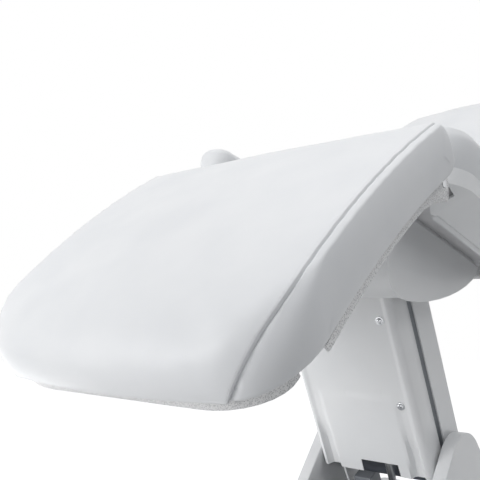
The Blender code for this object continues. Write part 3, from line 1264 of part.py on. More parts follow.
def make_armrest(side, sign, rest, mats):
    """Armrest bar and pad, in a frame at the post's stud."""
    bar_inner = POST_INNER + POST_THICKNESS + TOUCH
    near, far = sorted((sign * bar_inner, sign * (bar_inner + ARMREST_BAR)))
    rise = ARMREST_BOTTOM - ARMREST_PIVOT_Z - TOUCH
    front = ARMREST_FRONT - ARMREST_PIVOT_Y
    outline = arc(0.0, 0.0, POST_WIDTH / 2, 200, 360, 8)
    outline += [(POST_WIDTH / 2, rise), (front + 0.040, rise), (front + 0.050, rise - 0.014)]
    bar = prism(f"armrest_bar_{side}", outline, near, far)
    inside, outside = sorted((sign * bar_inner, sign * (ARMREST_INNER + ARMREST_WIDTH - 0.014)))
    join(bar, block("shelf", (inside, front + 0.045, rise - 0.005), (outside, -0.040, rise)))
    cut(bar, cross_rod("bore", 0.0, 0.0, near - 0.005, far + 0.005, PIN_RADIUS + RUNNING))
    finish(bar, rest, mats["powder"])

    middle = sign * (ARMREST_INNER + ARMREST_WIDTH / 2)
    bottom = ARMREST_BOTTOM - ARMREST_PIVOT_Z
    half = ARMREST_WIDTH / 2
    levels = pad_levels(bottom, bottom + ARMREST_HEIGHT - 0.006, 0.006, 0.006, 0.012)
    levels = [(min(inset, half - 0.008), height) for inset, height in levels]
    pad = cushion(f"armrest_pad_{side}", front, -0.008, half, half, half - 0.004, 0.020, levels,
                  lambda x, s, height: (x + middle, s, height), 6)
    finish(pad, rest, mats["leather"])


def drive_turn(start, end):
    """The turn about +X that points a frame's +Z from start to end."""
    along = end - start
    return math.atan2(-along.y, along.z)


def main():
    """Build the chair."""
    clear_scene()
    mats = make_materials()
    root = frame_empty("chair", None, (0.0, 0.0, 0.0))
    make_base(root, mats)

    arm = frame_empty("arm_frame", root, LOWER_PIVOT, ARM_LEAN)
    make_arm(arm, mats)
    link = frame_empty("link_frame", root, LOWER_PIVOT + LINK_SHIFT, ARM_LEAN)
    make_link(link, mats)
    pin_y, pin_z = shaft_point(LIFT_MOTOR_HEIGHT, LIFT_DEPTH)
    lift = frame_empty("lift_frame", arm, (0.0, pin_y, pin_z))
    make_lift_drive(lift, lift, mats)

    seat = frame_empty("seat_frame_axis", root, UPPER_PIVOT, -SEAT_TILT)
    make_seat(seat, mats)

    hinge = leg_hinge_in_seat()
    leg_turn = LEG_SLOPE + SEAT_TILT
    leg = frame_empty("leg_frame_axis", seat, hinge, leg_turn)
    make_leg(leg, mats)
    lever = hinge + Matrix.Rotation(leg_turn, 4, "X") @ Vector((0.0, LEG_LEVER_Y, LEG_LEVER_Z))
    stud = Vector((0.0, LEG_DRIVE_Y, LEG_DRIVE_Z))
    drive = frame_empty("leg_drive_frame", seat, stud, drive_turn(stud, lever))
    make_drive("leg", drive, drive, LEG_DRIVE_X, (lever - stud).length, LEG_STROKE_IN, LEG_PLAY, mats)

    pivot = Vector((0.0, BACK_HINGE_Y, BACK_HINGE_Z))
    back_turn = BACK_SLOPE + SEAT_TILT
    back = frame_empty("back_frame_axis", seat, pivot, back_turn)
    make_back(back, mats)
    lever = pivot + Matrix.Rotation(back_turn, 4, "X") @ Vector((0.0, BACK_LEVER_Y, BACK_LEVER_Z))
    stud = Vector((0.0, BACK_DRIVE_Y, BACK_DRIVE_Z))
    drive = frame_empty("back_drive_frame", seat, stud, drive_turn(stud, lever))
    make_drive("back", drive, drive, BACK_DRIVE_X, (lever - stud).length, BACK_STROKE_IN, BACK_PLAY, mats)

    place = head_map()
    head = frame_empty("head_frame", back, place.translation, -BACK_TURN)
    make_headrest(head, mats)
    for side, sign in (("left", 1), ("right", -1)):
        rest = frame_empty(f"armrest_frame_{side}", seat, (0.0, ARMREST_PIVOT_Y, ARMREST_PIVOT_Z))
        make_armrest(side, sign, rest, mats)


main()
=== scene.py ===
"""Looks of the beauty treatment chair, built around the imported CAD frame."""
import json
import math

import bmesh
import bpy
from mathutils import Matrix, Vector

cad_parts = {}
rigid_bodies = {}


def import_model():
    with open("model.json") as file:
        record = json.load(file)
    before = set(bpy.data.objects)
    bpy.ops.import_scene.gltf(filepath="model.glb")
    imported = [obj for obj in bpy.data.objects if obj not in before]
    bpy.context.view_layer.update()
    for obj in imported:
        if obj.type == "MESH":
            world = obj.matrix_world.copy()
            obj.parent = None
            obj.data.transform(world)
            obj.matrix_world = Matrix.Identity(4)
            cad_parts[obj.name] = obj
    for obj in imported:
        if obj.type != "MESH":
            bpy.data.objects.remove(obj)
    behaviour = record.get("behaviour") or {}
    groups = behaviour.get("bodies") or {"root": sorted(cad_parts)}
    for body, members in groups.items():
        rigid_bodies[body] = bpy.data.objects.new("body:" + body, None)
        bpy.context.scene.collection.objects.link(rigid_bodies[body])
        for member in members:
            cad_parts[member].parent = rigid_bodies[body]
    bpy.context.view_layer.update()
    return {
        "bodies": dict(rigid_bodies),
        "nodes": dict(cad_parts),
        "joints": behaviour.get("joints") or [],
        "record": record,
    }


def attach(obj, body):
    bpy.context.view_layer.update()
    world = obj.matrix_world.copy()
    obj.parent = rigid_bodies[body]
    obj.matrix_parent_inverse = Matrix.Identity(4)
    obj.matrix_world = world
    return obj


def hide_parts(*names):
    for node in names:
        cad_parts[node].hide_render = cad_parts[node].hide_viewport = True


# Camera
CAMERA_PLACE = (0.68, -1.132, 0.556)
CAMERA_YAW = math.radians(41.3)
CAMERA_PITCH = math.radians(6.0)
CAMERA_LENS = 49.65
CAMERA_SENSOR = 36.0
CAMERA_NEAR = 0.01

# Name, place, aim, size and power of each lamp, then the surroundings and the floor
LAMPS = (
    ("key", (-1.5, -3.0, 0.75), (0.0, -0.3, 0.50), 1.5, 53.0),
    ("top", (-0.2, -0.1, 3.1), (0.0, 0.0, 0.6), 2.2, 26.0),
    ("fill", (1.9, -0.6, 2.7), (0.1, -0.1, 0.5), 1.4, 17.0),
    ("low", (-0.90, -0.42, 0.12), (0.0, 0.05, 0.38), 0.5, 2.2),
)
WHITE = (1.0, 1.0, 1.0, 1.0)
WORLD_LIGHT = 0.28
WORLD_TINT = (0.93, 0.96, 1.0, 1.0)
FLOOR_GLOW = 0.82
FLOOR_TINT = (0.60, 0.60, 0.60, 1.0)
FLOOR_ROUGHNESS = 0.9
FLOOR_SIZE = 6.0
FLOOR_DROP = 0.001

# Frames and measures of the padded parts, most of them as in the CAD model
SEAT_PLACE = (0.0, -0.052829, 0.633689)
SEAT_TURN = math.radians(-14)
LEG_PLACE = (0.0, -0.24, 0.735)
LEG_TURN = math.radians(29)
LEG_LENGTH = 0.500
LEG_RADIUS = LEG_LENGTH / math.radians(19)
LEG_TOP = 0.089
LEG_OVERHANG = 0.015
LEG_THICKNESS = 0.078
BACK_HINGE = (0.300, 0.125)
BACK_TURN = math.radians(53)
BACK_LENGTH = 0.840
BACK_BEND = math.radians(33)
BACK_RADIUS = BACK_LENGTH / BACK_BEND
BACK_THICKNESS = 0.090
BACK_NOSE = 0.041
HEAD_GAP = 0.020
HEAD_LENGTH = 0.170
HEAD_THICKNESS = 0.070
ARMREST_PIVOT = (0.258, 0.222)
ARMREST_MIDDLE = 0.3675
BOARD_TOP = 0.103
BOARD_CLEARANCE = 0.0003
SEAT_HEIGHT = 0.072
SEAT_CROWN = 0.024
SEAT_BULGE = 0.006

# How far the headrest's pad lies below its CAD cushion's top, and how much thinner it is
HEAD_SINK = 0.004
HEAD_SPARE = 0.010

# Plan of the boxed pads: front, back, half width, front corner, back corner.
# Levels: base, seam, crown above the seam, bulge of the band.
SEAT_PLAN = (-0.180, 0.249, 0.290, 0.070, 0.020)
SEAT_BASE = BOARD_TOP + BOARD_CLEARANCE
SEAT_LEVELS = (SEAT_BASE, SEAT_BASE + SEAT_HEIGHT, SEAT_CROWN, SEAT_BULGE)
ARMREST_PLAN = (-0.325, -0.008, 0.0425, 0.0385, 0.020)
ARMREST_LEVELS = (0.0212, 0.068, 0.006, 0.004)


def turn_x(angle):
    """A turn about +X."""
    return Matrix.Rotation(angle, 4, "X")


SEAT_MAP = Matrix.Translation(SEAT_PLACE) @ turn_x(SEAT_TURN)
LEG_MAP = Matrix.Translation(LEG_PLACE) @ turn_x(LEG_TURN)
BACK_MAP = Matrix.Translation(SEAT_MAP @ Vector((0.0, *BACK_HINGE))) @ turn_x(BACK_TURN)
ARMREST_MAP = Matrix.Translation(SEAT_MAP @ Vector((0.0, *ARMREST_PIVOT))) @ turn_x(SEAT_TURN)


def leg_point(x, s, height):
    """A point of the leg rest: s from the hinge to the foot along its arc, height above its top."""
    turn = s / LEG_RADIUS
    reach = LEG_RADIUS + height
    z = LEG_TOP - LEG_RADIUS + reach * math.cos(turn)
    return LEG_MAP @ Vector((x, LEG_OVERHANG - reach * math.sin(turn), z))


def back_point(x, s, height):
    """A point of the back rest: s from the hinge to the head along its arc, height above its top."""
    turn = s / BACK_RADIUS
    reach = BACK_RADIUS + height
    z = BACK_THICKNESS / 2 - BACK_RADIUS + reach * math.cos(turn)
    return BACK_MAP @ Vector((x, reach * math.sin(turn), z))


HEAD_MAP = Matrix.Translation(back_point(0.0, BACK_LENGTH, 0.0)) @ turn_x(BACK_TURN - BACK_BEND)


def back_pad_point(x, s, height):
    """A point of the back pad, whose nose reaches past the hinge."""
    return back_point(x, s - BACK_NOSE, height)


def head_pad_point(x, s, height):
    """A point of the headrest's pad, in the headrest's own flat frame."""
    return HEAD_MAP @ Vector((x, HEAD_GAP + s, height - HEAD_SINK))


def seat_point(x, y, z):
    """A point in the seat's frame."""
    return SEAT_MAP @ Vector((x, y, z))


def armrest_point(x, s, height):
    """A point in the armrests' frame."""
    return ARMREST_MAP @ Vector((x, s, height))


# Materials: darker and lighter shade of each finish

SHADES = {
    "look_leather": ((0.775, 0.785, 0.800), (0.815, 0.822, 0.832)),
    "look_plastic": ((0.80, 0.81, 0.82), (0.84, 0.845, 0.85)),
    "look_powder": ((0.42, 0.42, 0.43), (0.88, 0.88, 0.88)),
    "look_steel": ((0.55, 0.56, 0.58), (0.68, 0.69, 0.70)),
    "look_dark": ((0.085, 0.095, 0.115), (0.13, 0.14, 0.165)),
    "look_board": ((0.72, 0.72, 0.73), (0.79, 0.79, 0.80)),
    "look_grey": ((0.36, 0.38, 0.41), (0.42, 0.44, 0.47)),
    "look_black": ((0.018, 0.018, 0.020), (0.035, 0.035, 0.038)),
    "look_thread": ((0.76, 0.77, 0.785), (0.80, 0.81, 0.82)),
}
NOISE_ROUGHNESS = 0.5


class Finish:
    """A new material and a short way to add and join its nodes."""

    def __init__(self, name):
        self.shades = SHADES.get(name)
        self.material = bpy.data.materials.new(name)
        self.material.use_nodes = True
        self.tree = self.material.node_tree
        self.shader = self.tree.nodes["Principled BSDF"]

    def add(self, kind, **values):
        """Add a node and set its inputs by name."""
        node = self.tree.nodes.new(kind)
        for key, value in values.items():
            node.inputs[key].default_value = value
        return node

    def link(self, source, target):
        """Join two sockets."""
        self.tree.links.new(source, target)

    def constant(self, socket, value):
        """Set a constant on the shader."""
        self.shader.inputs[socket].default_value = value

    def place(self):
        """Object coordinates, in metres."""
        return self.tree.nodes.new("ShaderNodeTexCoord").outputs["Object"]

    def noise(self, scale, detail):
        """A noise field over the object's coordinates."""
        node = self.add("ShaderNodeTexNoise", Scale=scale, Detail=detail, Roughness=NOISE_ROUGHNESS)
        self.link(self.place(), node.inputs["Vector"])
        return node.outputs["Fac"]

    def cells(self, scale):
        """A field of small cells over the object's coordinates."""
        node = self.add("ShaderNodeTexVoronoi", Scale=scale)
        self.link(self.place(), node.inputs["Vector"])
        return node.outputs["Distance"]

    def colour(self, field, low, high):
        """Drive the base colour between the finish's two shades."""
        node = self.tree.nodes.new("ShaderNodeValToRGB")
        for element, position, shade in zip(node.color_ramp.elements, (low, high), self.shades):
            element.position = position
            element.color = (*shade, 1.0)
        self.link(field, node.inputs["Fac"])
        self.link(node.outputs["Color"], self.shader.inputs["Base Color"])

    def rough(self, field, low, high):
        """Drive the roughness between two values."""
        node = self.tree.nodes.new("ShaderNodeMapRange")
        node.inputs["To Min"].default_value = low
        node.inputs["To Max"].default_value = high
        self.link(field, node.inputs["Value"])
        self.link(node.outputs["Result"], self.shader.inputs["Roughness"])

    def bump(self, *layers):
        """Chain bump layers of (field, strength, distance) into the shader's normal."""
        last = None
        for field, strength, distance in layers:
            node = self.add("ShaderNodeBump", Strength=strength, Distance=distance)
            self.link(field, node.inputs["Height"])
            if last is not None:
                self.link(last, node.inputs["Normal"])
            last = node.outputs["Normal"]
        self.link(last, self.shader.inputs["Normal"])


def leather(name):
    """White upholstery leather: fine pebbled grain, slight colour drift and a soft sheen."""
    made = Finish(name)
    made.colour(made.noise(scale=9.0, detail=3.0), low=0.35, high=0.70)
    made.rough(made.noise(scale=35.0, detail=3.0), low=0.40, high=0.52)
    pebbles = made.cells(scale=620.0)
    pores = made.noise(scale=1500.0, detail=2.0)
    made.bump((pebbles, 0.10, 0.0004), (pores, 0.05, 0.0003))
    made.constant("Specular IOR Level", 0.35)
    made.constant("Sheen Weight", 0.06)
    made.constant("Sheen Roughness", 0.5)
    return made.material


def moulded(name, low, high, grain):
    """Satin moulded plastic with a faint spark texture, between two roughnesses."""
    made = Finish(name)
    made.colour(made.noise(scale=6.0, detail=2.0), low=0.35, high=0.70)
    made.rough(made.noise(scale=60.0, detail=2.0), low, high)
    made.bump((made.noise(scale=1100.0, detail=2.0), grain, 0.0003))
    made.constant("Coat Weight", 0.08)
    made.constant("Coat Roughness", 0.25)
    return made.material


def powder_coat(name):
    """White powder coat with a coarse orange-peel texture."""
    made = Finish(name)
    peel = made.cells(scale=560.0)
    made.colour(peel, low=0.10, high=0.55)
    made.rough(made.noise(scale=300.0, detail=2.0), low=0.50, high=0.70)
    specks = made.noise(scale=900.0, detail=3.0)
    made.bump((peel, 0.55, 0.0010), (specks, 0.35, 0.0006))
    return made.material


def bright_metal(name):
    """Turned steel with fine streaks."""
    made = Finish(name)
    made.constant("Metallic", 1.0)
    made.colour(made.noise(scale=40.0, detail=4.0), low=0.30, high=0.75)
    made.rough(made.noise(scale=220.0, detail=4.0), low=0.22, high=0.38)
    made.bump((made.noise(scale=800.0, detail=2.0), 0.08, 0.0002))
    return made.material


def painted(name):
    """Dark painted steel with a dry, slightly dusty surface."""
    made = Finish(name)
    made.colour(made.noise(scale=25.0, detail=4.0), low=0.30, high=0.75)
    made.rough(made.noise(scale=90.0, detail=3.0), low=0.45, high=0.62)
    made.bump((made.noise(scale=700.0, detail=2.0), 0.12, 0.0003))
    return made.material


def covered_board(name):
    """Board wrapped in woven white cover fabric."""
    made = Finish(name)
    made.colour(made.noise(scale=30.0, detail=3.0), low=0.30, high=0.70)
    made.rough(made.noise(scale=50.0, detail=2.0), low=0.62, high=0.75)
    made.bump((made.cells(scale=700.0), 0.30, 0.0005))
    return made.material


def thread(name):
    """White sewing thread."""
    made = Finish(name)
    made.colour(made.noise(scale=900.0, detail=2.0), low=0.30, high=0.70)
    made.rough(made.noise(scale=300.0, detail=2.0), low=0.60, high=0.80)
    return made.material


def make_materials():
    """One material for each slot of the record, and one for the thread."""
    return {
        "white_leather": leather("look_leather"),
        "white_plastic": moulded("look_plastic", low=0.30, high=0.44, grain=0.05),
        "textured_powder_coat": powder_coat("look_powder"),
        "bright_steel": bright_metal("look_steel"),
        "dark_steel": painted("look_dark"),
        "covered_board": covered_board("look_board"),
        "grey_plastic": moulded("look_grey", low=0.42, high=0.55, grain=0.08),
        "black_plastic": moulded("look_black", low=0.35, high=0.50, grain=0.08),
        "thread": thread("look_thread"),
    }


# Meshes, and the angle above which a plain piece's edges stay sharp
PLAIN_SMOOTH_ANGLE = 40


def join_rows(shape, rows):
    """Faces between successive closed rows of points."""
    for first, second in zip(rows, rows[1:]):
        for index in range(len(first)):
            after = (index + 1) % len(first)
            shape.faces.new((first[index], first[after], second[after], second[index]))


def add_tube(shape, loops):
    """A closed tube through loops of places, with a face at each end."""
    rows = [[shape.verts.new(place) for place in loop] for loop in loops]
    join_rows(shape, rows)
    shape.faces.new(rows[0][::-1])
    shape.faces.new(rows[-1])


def tube_mesh(loops):
    """A mesh of one closed tube."""
    shape = bmesh.new()
    add_tube(shape, loops)
    bmesh.ops.recalc_face_normals(shape, faces=shape.faces)
    return shape


def add_mesh(name, shape, smooth_angle):
    """Turn a bmesh into a shown object."""
    bmesh.ops.recalc_face_normals(shape, faces=shape.faces)
    mesh = bpy.data.meshes.new(name)
    shape.to_mesh(mesh)
    shape.free()
    item = bpy.data.objects.new(name, mesh)
    bpy.context.scene.collection.objects.link(item)
    mesh.shade_smooth()
    mesh.set_sharp_from_angle(angle=math.radians(smooth_angle))
    return item


def dress(piece, slot, body, mats):
    """Give a piece its finish and the body it rides on."""
    piece.data.materials.append(mats[slot])
    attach(piece, body)


def add_trim(name, loops, smooth_angle, slot, body, mats):
    """A closed rigid piece through loops of places."""
    piece = add_mesh(name, tube_mesh(loops), smooth_angle)
    dress(piece, slot, body, mats)
    return piece


def soften(item, width, segments, angle):
    """Round an object's sharp edges."""
    edge = item.modifiers.new("edges", "BEVEL")
    edge.width = width
    edge.segments = segments
    edge.limit_method = "ANGLE"
    edge.angle_limit = math.radians(angle)


def smooth(value, low, high):
    """An eased step from 0 at low to 1 at high; low may be the larger one."""
    share = min(1.0, max(0.0, (value - low) / (high - low)))
    return share * share * (3.0 - 2.0 * share)


# Strength, turns along a, along b and along both, and start of each wave of the covers' slack
RIPPLE_WAVES = ((1.0, 17.0, 3.1, 0.0, 0.6), (0.6, 31.0, -9.0, 0.0, 1.9), (0.5, 0.0, 11.0, 7.0, 0.4))
RIPPLE_MOST = sum(wave[0] for wave in RIPPLE_WAVES)


def ripple(a, b):
    """A soft fixed undulation between -1 and 1."""
    total = 0.0
    for strength, by_a, by_b, by_both, start in RIPPLE_WAVES:
        total += strength * math.sin(by_a * a + by_b * b + by_both * a * b + start)
    return total / RIPPLE_MOST


# Padded pieces: steps of a side profile and the least radius of its corners
CORNER_STEPS = 7
END_STEPS = 5
LEAST_RADIUS = 0.0015


def round_profile(low_s, high_s, spec, inset):
    """A closed side profile of (s, height) points, from the start's top corner over the top and back."""
    low_s += inset
    high_s -= inset
    top = -inset
    low = inset - spec["thickness"]
    start_top, end_top, end_low, start_low = [max(radius - inset, LEAST_RADIUS) for radius in spec["radii"]]
    points = []

    def sweep(centre_s, centre_h, radius, first):
        for step in range(CORNER_STEPS + 1):
            angle = math.radians(first - 90 * step / CORNER_STEPS)
            points.append((centre_s + radius * math.cos(angle), centre_h + radius * math.sin(angle)))

    def run(first, second, steps):
        for step in range(1, steps):
            share = step / steps
            points.append(tuple(near + (far - near) * share for near, far in zip(first, second)))

    sweep(low_s + start_top, top - start_top, start_top, 180)
    run((low_s + start_top, top), (high_s - end_top, top), spec["rows"])
    sweep(high_s - end_top, top - end_top, end_top, 90)
    run((high_s, top - end_top), (high_s, low + end_low), END_STEPS)
    sweep(high_s - end_low, low + end_low, end_low, 0)
    run((high_s - end_low, low), (low_s + start_low, low), spec["rows"])
    sweep(low_s + start_low, low + start_low, start_low, -90)
    run((low_s, low + start_low), (low_s, top - start_top), END_STEPS)
    return points


def corner_cut(x, half, radius):
    """How far a rounded plan corner draws an end back at a distance x from the middle."""
    over = max(0.0, abs(x) - (half - radius))
    return radius - math.sqrt(max(0.0, radius ** 2 - min(over, radius) ** 2))


# Sewn seam: distances of its close rows, the lip outside it, its groove and step down,
# the strip sewn down beside it, its turn at the far end and its puckers
SEAM_GAPS = (0.0003, 0.0006, 0.0009, 0.0013, 0.0019, 0.0030, 0.0042, 0.0060, 0.0072, 0.0086)
SEAM_LIP = 0.0010
SEAM_WIDTH = 0.0009
SEAM_OFFSET = 0.0003
SEAM_STEP = 0.0012
SEAM_STEP_SHARE = 0.35
SEAM_LIP_DROP = 0.1
SEAM_STRIP = 0.0002
STRIP_INNER_EDGE = (-0.0085, -0.0070)
STRIP_OUTER_EDGE = (0.0008, 0.0022)
SEAM_TURN_SPAN = (1.2, 0.3)
SEAM_TURN_POWER = 0.8
PUCKER_REACH = 0.011
PUCKER_TURNS = 210.0
PUCKER_DRIFT = 2.2
PUCKER_DRIFT_TURNS = 29.0

# Side panel of a wrapped pad, fading of its crown, and the ring numbers' spacing
END_ROUNDING = 0.026
SIDE_END = 0.985
SIDE_SLIT = 0.0012
CROWN_DEPTH = 0.2
CROWN_END = 0.22
PLAIN_SIDE_RINGS = (1.5, 1.75, 2.0, 2.16, 2.32, 2.5, 2.68, 2.84, 2.98)
FINE_SIDE_SHARES = (0.02, 0.05, 0.09, 0.14, 0.20, 0.27, 0.36, 0.46, 0.57, 0.69, 0.81, 0.92, 0.98)
FINE_SHOULDER_STEPS = 8
FINE_SEAM_REACH = 0.013
RING_TOLERANCE = 1e-6
TRAY_CONTACT = 0.86


class WrapPad:
    """A pad whose top cover wraps over both ends, with a sewn-in panel at each side.

    A place on it is a ring number across and a point number round the side profile.
    Rings -1 to 1 are the cover, 1 to 1.5 the lip outside the seam, 1.5 to 2 the shoulder
    and 2 to 3 the side panel.
    """

    def __init__(self, spec, place):
        self.spec = spec
        self.place = place
        self.nominal = round_profile(0.0, spec["length"], spec, 0.0)
        self.count = len(self.nominal)
        self.edges = [self.edge(s) for s, height in self.nominal]
        self.seams = [self.seam(s, height) for s, height in self.nominal]

    def edge(self, s):
        """Half width of the pad at the seam's shoulder."""
        low, high = self.spec["half"]
        return low + (high - low) * s / self.spec["length"]

    def seam(self, s, height):
        """Half width at the seam, which runs inwards as it goes down the far end."""
        spec = self.spec
        line = self.edge(s) - spec["shoulder"]
        first, last = [spec["length"] - spec["radii"][1] * share for share in SEAM_TURN_SPAN]
        depth = min(1.0, max(0.0, -height / spec["thickness"]))
        return line - spec["seam_turn"] * smooth(s, first, last) * depth ** SEAM_TURN_POWER

    def across(self, ring, index):
        """Distance from the middle and draw-in of a ring, before any sewn detail."""
        spec = self.spec
        seam = self.seams[index]
        edge = self.edges[index]
        if ring <= 1.0:
            return ring * seam, 0.0
        drop = spec["roll"] - SEAM_STEP
        if ring <= 1.5:
            share = 2.0 * (ring - 1.0)
            inset = SEAM_STEP * smooth(share, 0.0, SEAM_STEP_SHARE) + SEAM_LIP_DROP * drop * share
            return seam + SEAM_LIP * share, inset
        if ring <= 2.0:
            share = 2.0 * (ring - 1.5)
            inner = seam + SEAM_LIP
            inset = SEAM_STEP + drop * (SEAM_LIP_DROP + (1.0 - SEAM_LIP_DROP) * share ** 2)
            return inner + (edge - inner) * math.sin(share * math.pi / 2), inset
        share = min(ring - 2.0, SIDE_END)
        mid = spec["thickness"] / 2
        return edge, spec["roll"] + (mid - spec["roll"] - SIDE_SLIT) * share

    def belly(self, ring, s, height):
        """How far the side panel swells outwards: fullest at half height, fading towards the seam."""
        if ring <= 1.5:
            return 0.0
        spec = self.spec
        mid = spec["thickness"] / 2
        level = (height + mid) / mid
        start = min(1.0, max(0.0, s / END_ROUNDING))
        full = spec["bulge"] * math.sqrt(max(0.0, 1.0 - level ** 2))
        return full * math.sqrt(1.0 - (1.0 - start) ** 2) * smooth(ring, 1.5, 2.0)

    def swollen(self, x, s, edge, swell):
        """Move a point of the side outwards, square to the plan's outline and round its corners."""
        at_foot = s > self.spec["length"] / 2
        corner = self.spec["corners"][1 if at_foot else 0]
        across = min(1.0, max(0.0, x - (edge - corner)) / corner)
        along = math.sqrt(1.0 - across ** 2)
        return x + swell * across, s + (swell * along if at_foot else -swell * along)

    def point(self, ring, index, detail):
        """The place of one point, with the sewn details or as the plain form that is then inflated."""
        spec = self.spec
        side = 1.0 if ring >= 0 else -1.0
        mid = spec["thickness"] / 2
        edge = self.edges[index]
        x, inset = self.across(abs(ring), index)
        gap = x - self.seams[index]
        if detail:
            inset += spec["groove"] * math.exp(-((gap - SEAM_OFFSET) / SEAM_WIDTH) ** 2)
            inset -= SEAM_STRIP * smooth(gap, *STRIP_INNER_EDGE) * smooth(-gap, *STRIP_OUTER_EDGE)
        plan_x = min(x, edge)
        low_s = corner_cut(plan_x, edge, spec["corners"][0])
        sag = spec["end_sag"] * (plan_x / edge) ** 2
        high_s = spec["length"] - sag - corner_cut(plan_x, edge, spec["corners"][1])
        s, height = round_profile(low_s, high_s, spec, inset)[index]
        swell = self.belly(abs(ring), s, height)
        if swell > 0.0:
            x, s = self.swollen(x, s, edge, swell)
        along = s / spec["length"]
        topness = smooth(height, -mid, -CROWN_DEPTH * mid)
        inner = max(0.0, 1.0 - (x / edge) ** 2) if x < edge else 0.0
        ends = smooth(along, 0.0, CROWN_END) * smooth(1.0 - along, 0.0, CROWN_END)
        lift = spec["crown"] * inner * ends * topness
        if detail:
            lift += spec["ripple"] * ripple(side * x, along) * topness * inner ** 0.5
            near = math.exp(-(gap / PUCKER_REACH) ** 2)
            wave = math.sin(s * PUCKER_TURNS + PUCKER_DRIFT * math.sin(s * PUCKER_DRIFT_TURNS))
            lift += spec["pucker"] * near * topness * wave
        return self.place(side * x, s, height + lift)

    def plain_rings(self):
        """Ring numbers of the form that is inflated."""
        steps = self.spec["columns"]
        top = [-1.0 + step / steps for step in range(2 * steps + 1)]
        return [-ring for ring in PLAIN_SIDE_RINGS[::-1]] + top + list(PLAIN_SIDE_RINGS)

    def fine_rings(self):
        """Ring numbers of the finished piece, close together at the seams."""
        steps = self.spec["columns"]
        inner = 1.0 - FINE_SEAM_REACH / self.seams[0]
        half = [inner * step / steps for step in range(1, steps + 1)]
        half += [1.0 - gap / self.seams[0] for gap in SEAM_GAPS[::-1]]
        half += [1.0]
        half += [1.0 + gap / (2.0 * SEAM_LIP) for gap in SEAM_GAPS if gap <= SEAM_LIP]
        half += [1.5 + 0.5 * step / FINE_SHOULDER_STEPS for step in range(1, FINE_SHOULDER_STEPS + 1)]
        half += [2.0 + share for share in FINE_SIDE_SHARES]
        return [-ring for ring in half[::-1]] + [0.0] + half

    def held(self, ring, index):
        """Whether a point is in a side panel or rests on the tray, so that pressure doesn't move it."""
        height = self.nominal[index][1]
        return abs(ring) > 1.0 - RING_TOLERANCE or height < -TRAY_CONTACT * self.spec["thickness"]


# Boxed pad: its seam, the steps of its outline, the slack of its panel and the ring numbers' spacing
BOX_SEAM_WIDTH = 0.0014
BOX_SEAM_DEPTH = 0.0036
BOX_SHOULDER = 0.007
BOX_SHOULDER_START = 0.70
BOX_PANEL_END = 0.004
BOX_CROWN_POWER = 0.8
BOX_CORNER_STEPS = 10
BOX_SIDE_STEPS = 18
BOX_END_STEPS = 22
BOX_LEAST_RADIUS = 0.002
BOX_RIPPLE = 0.0012
BOX_RIPPLE_PITCH = 2.0
BOX_PUCKER = 0.0003
BOX_PUCKER_TURNS = 190.0
BOX_PUCKER_REACH = 0.010
BOX_PLAIN_BAND = 8
BOX_PLAIN_PANEL = 14
BOX_BAND_RINGS = (0.0, 0.02, 0.06, *(0.12 + 0.065 * step for step in range(12)))
BOX_BAND_MARGIN = 0.01
BOX_CLOSE_ROWS = 6
BOX_PANEL_RINGS = 18
BOX_BASE_RING = 0.05


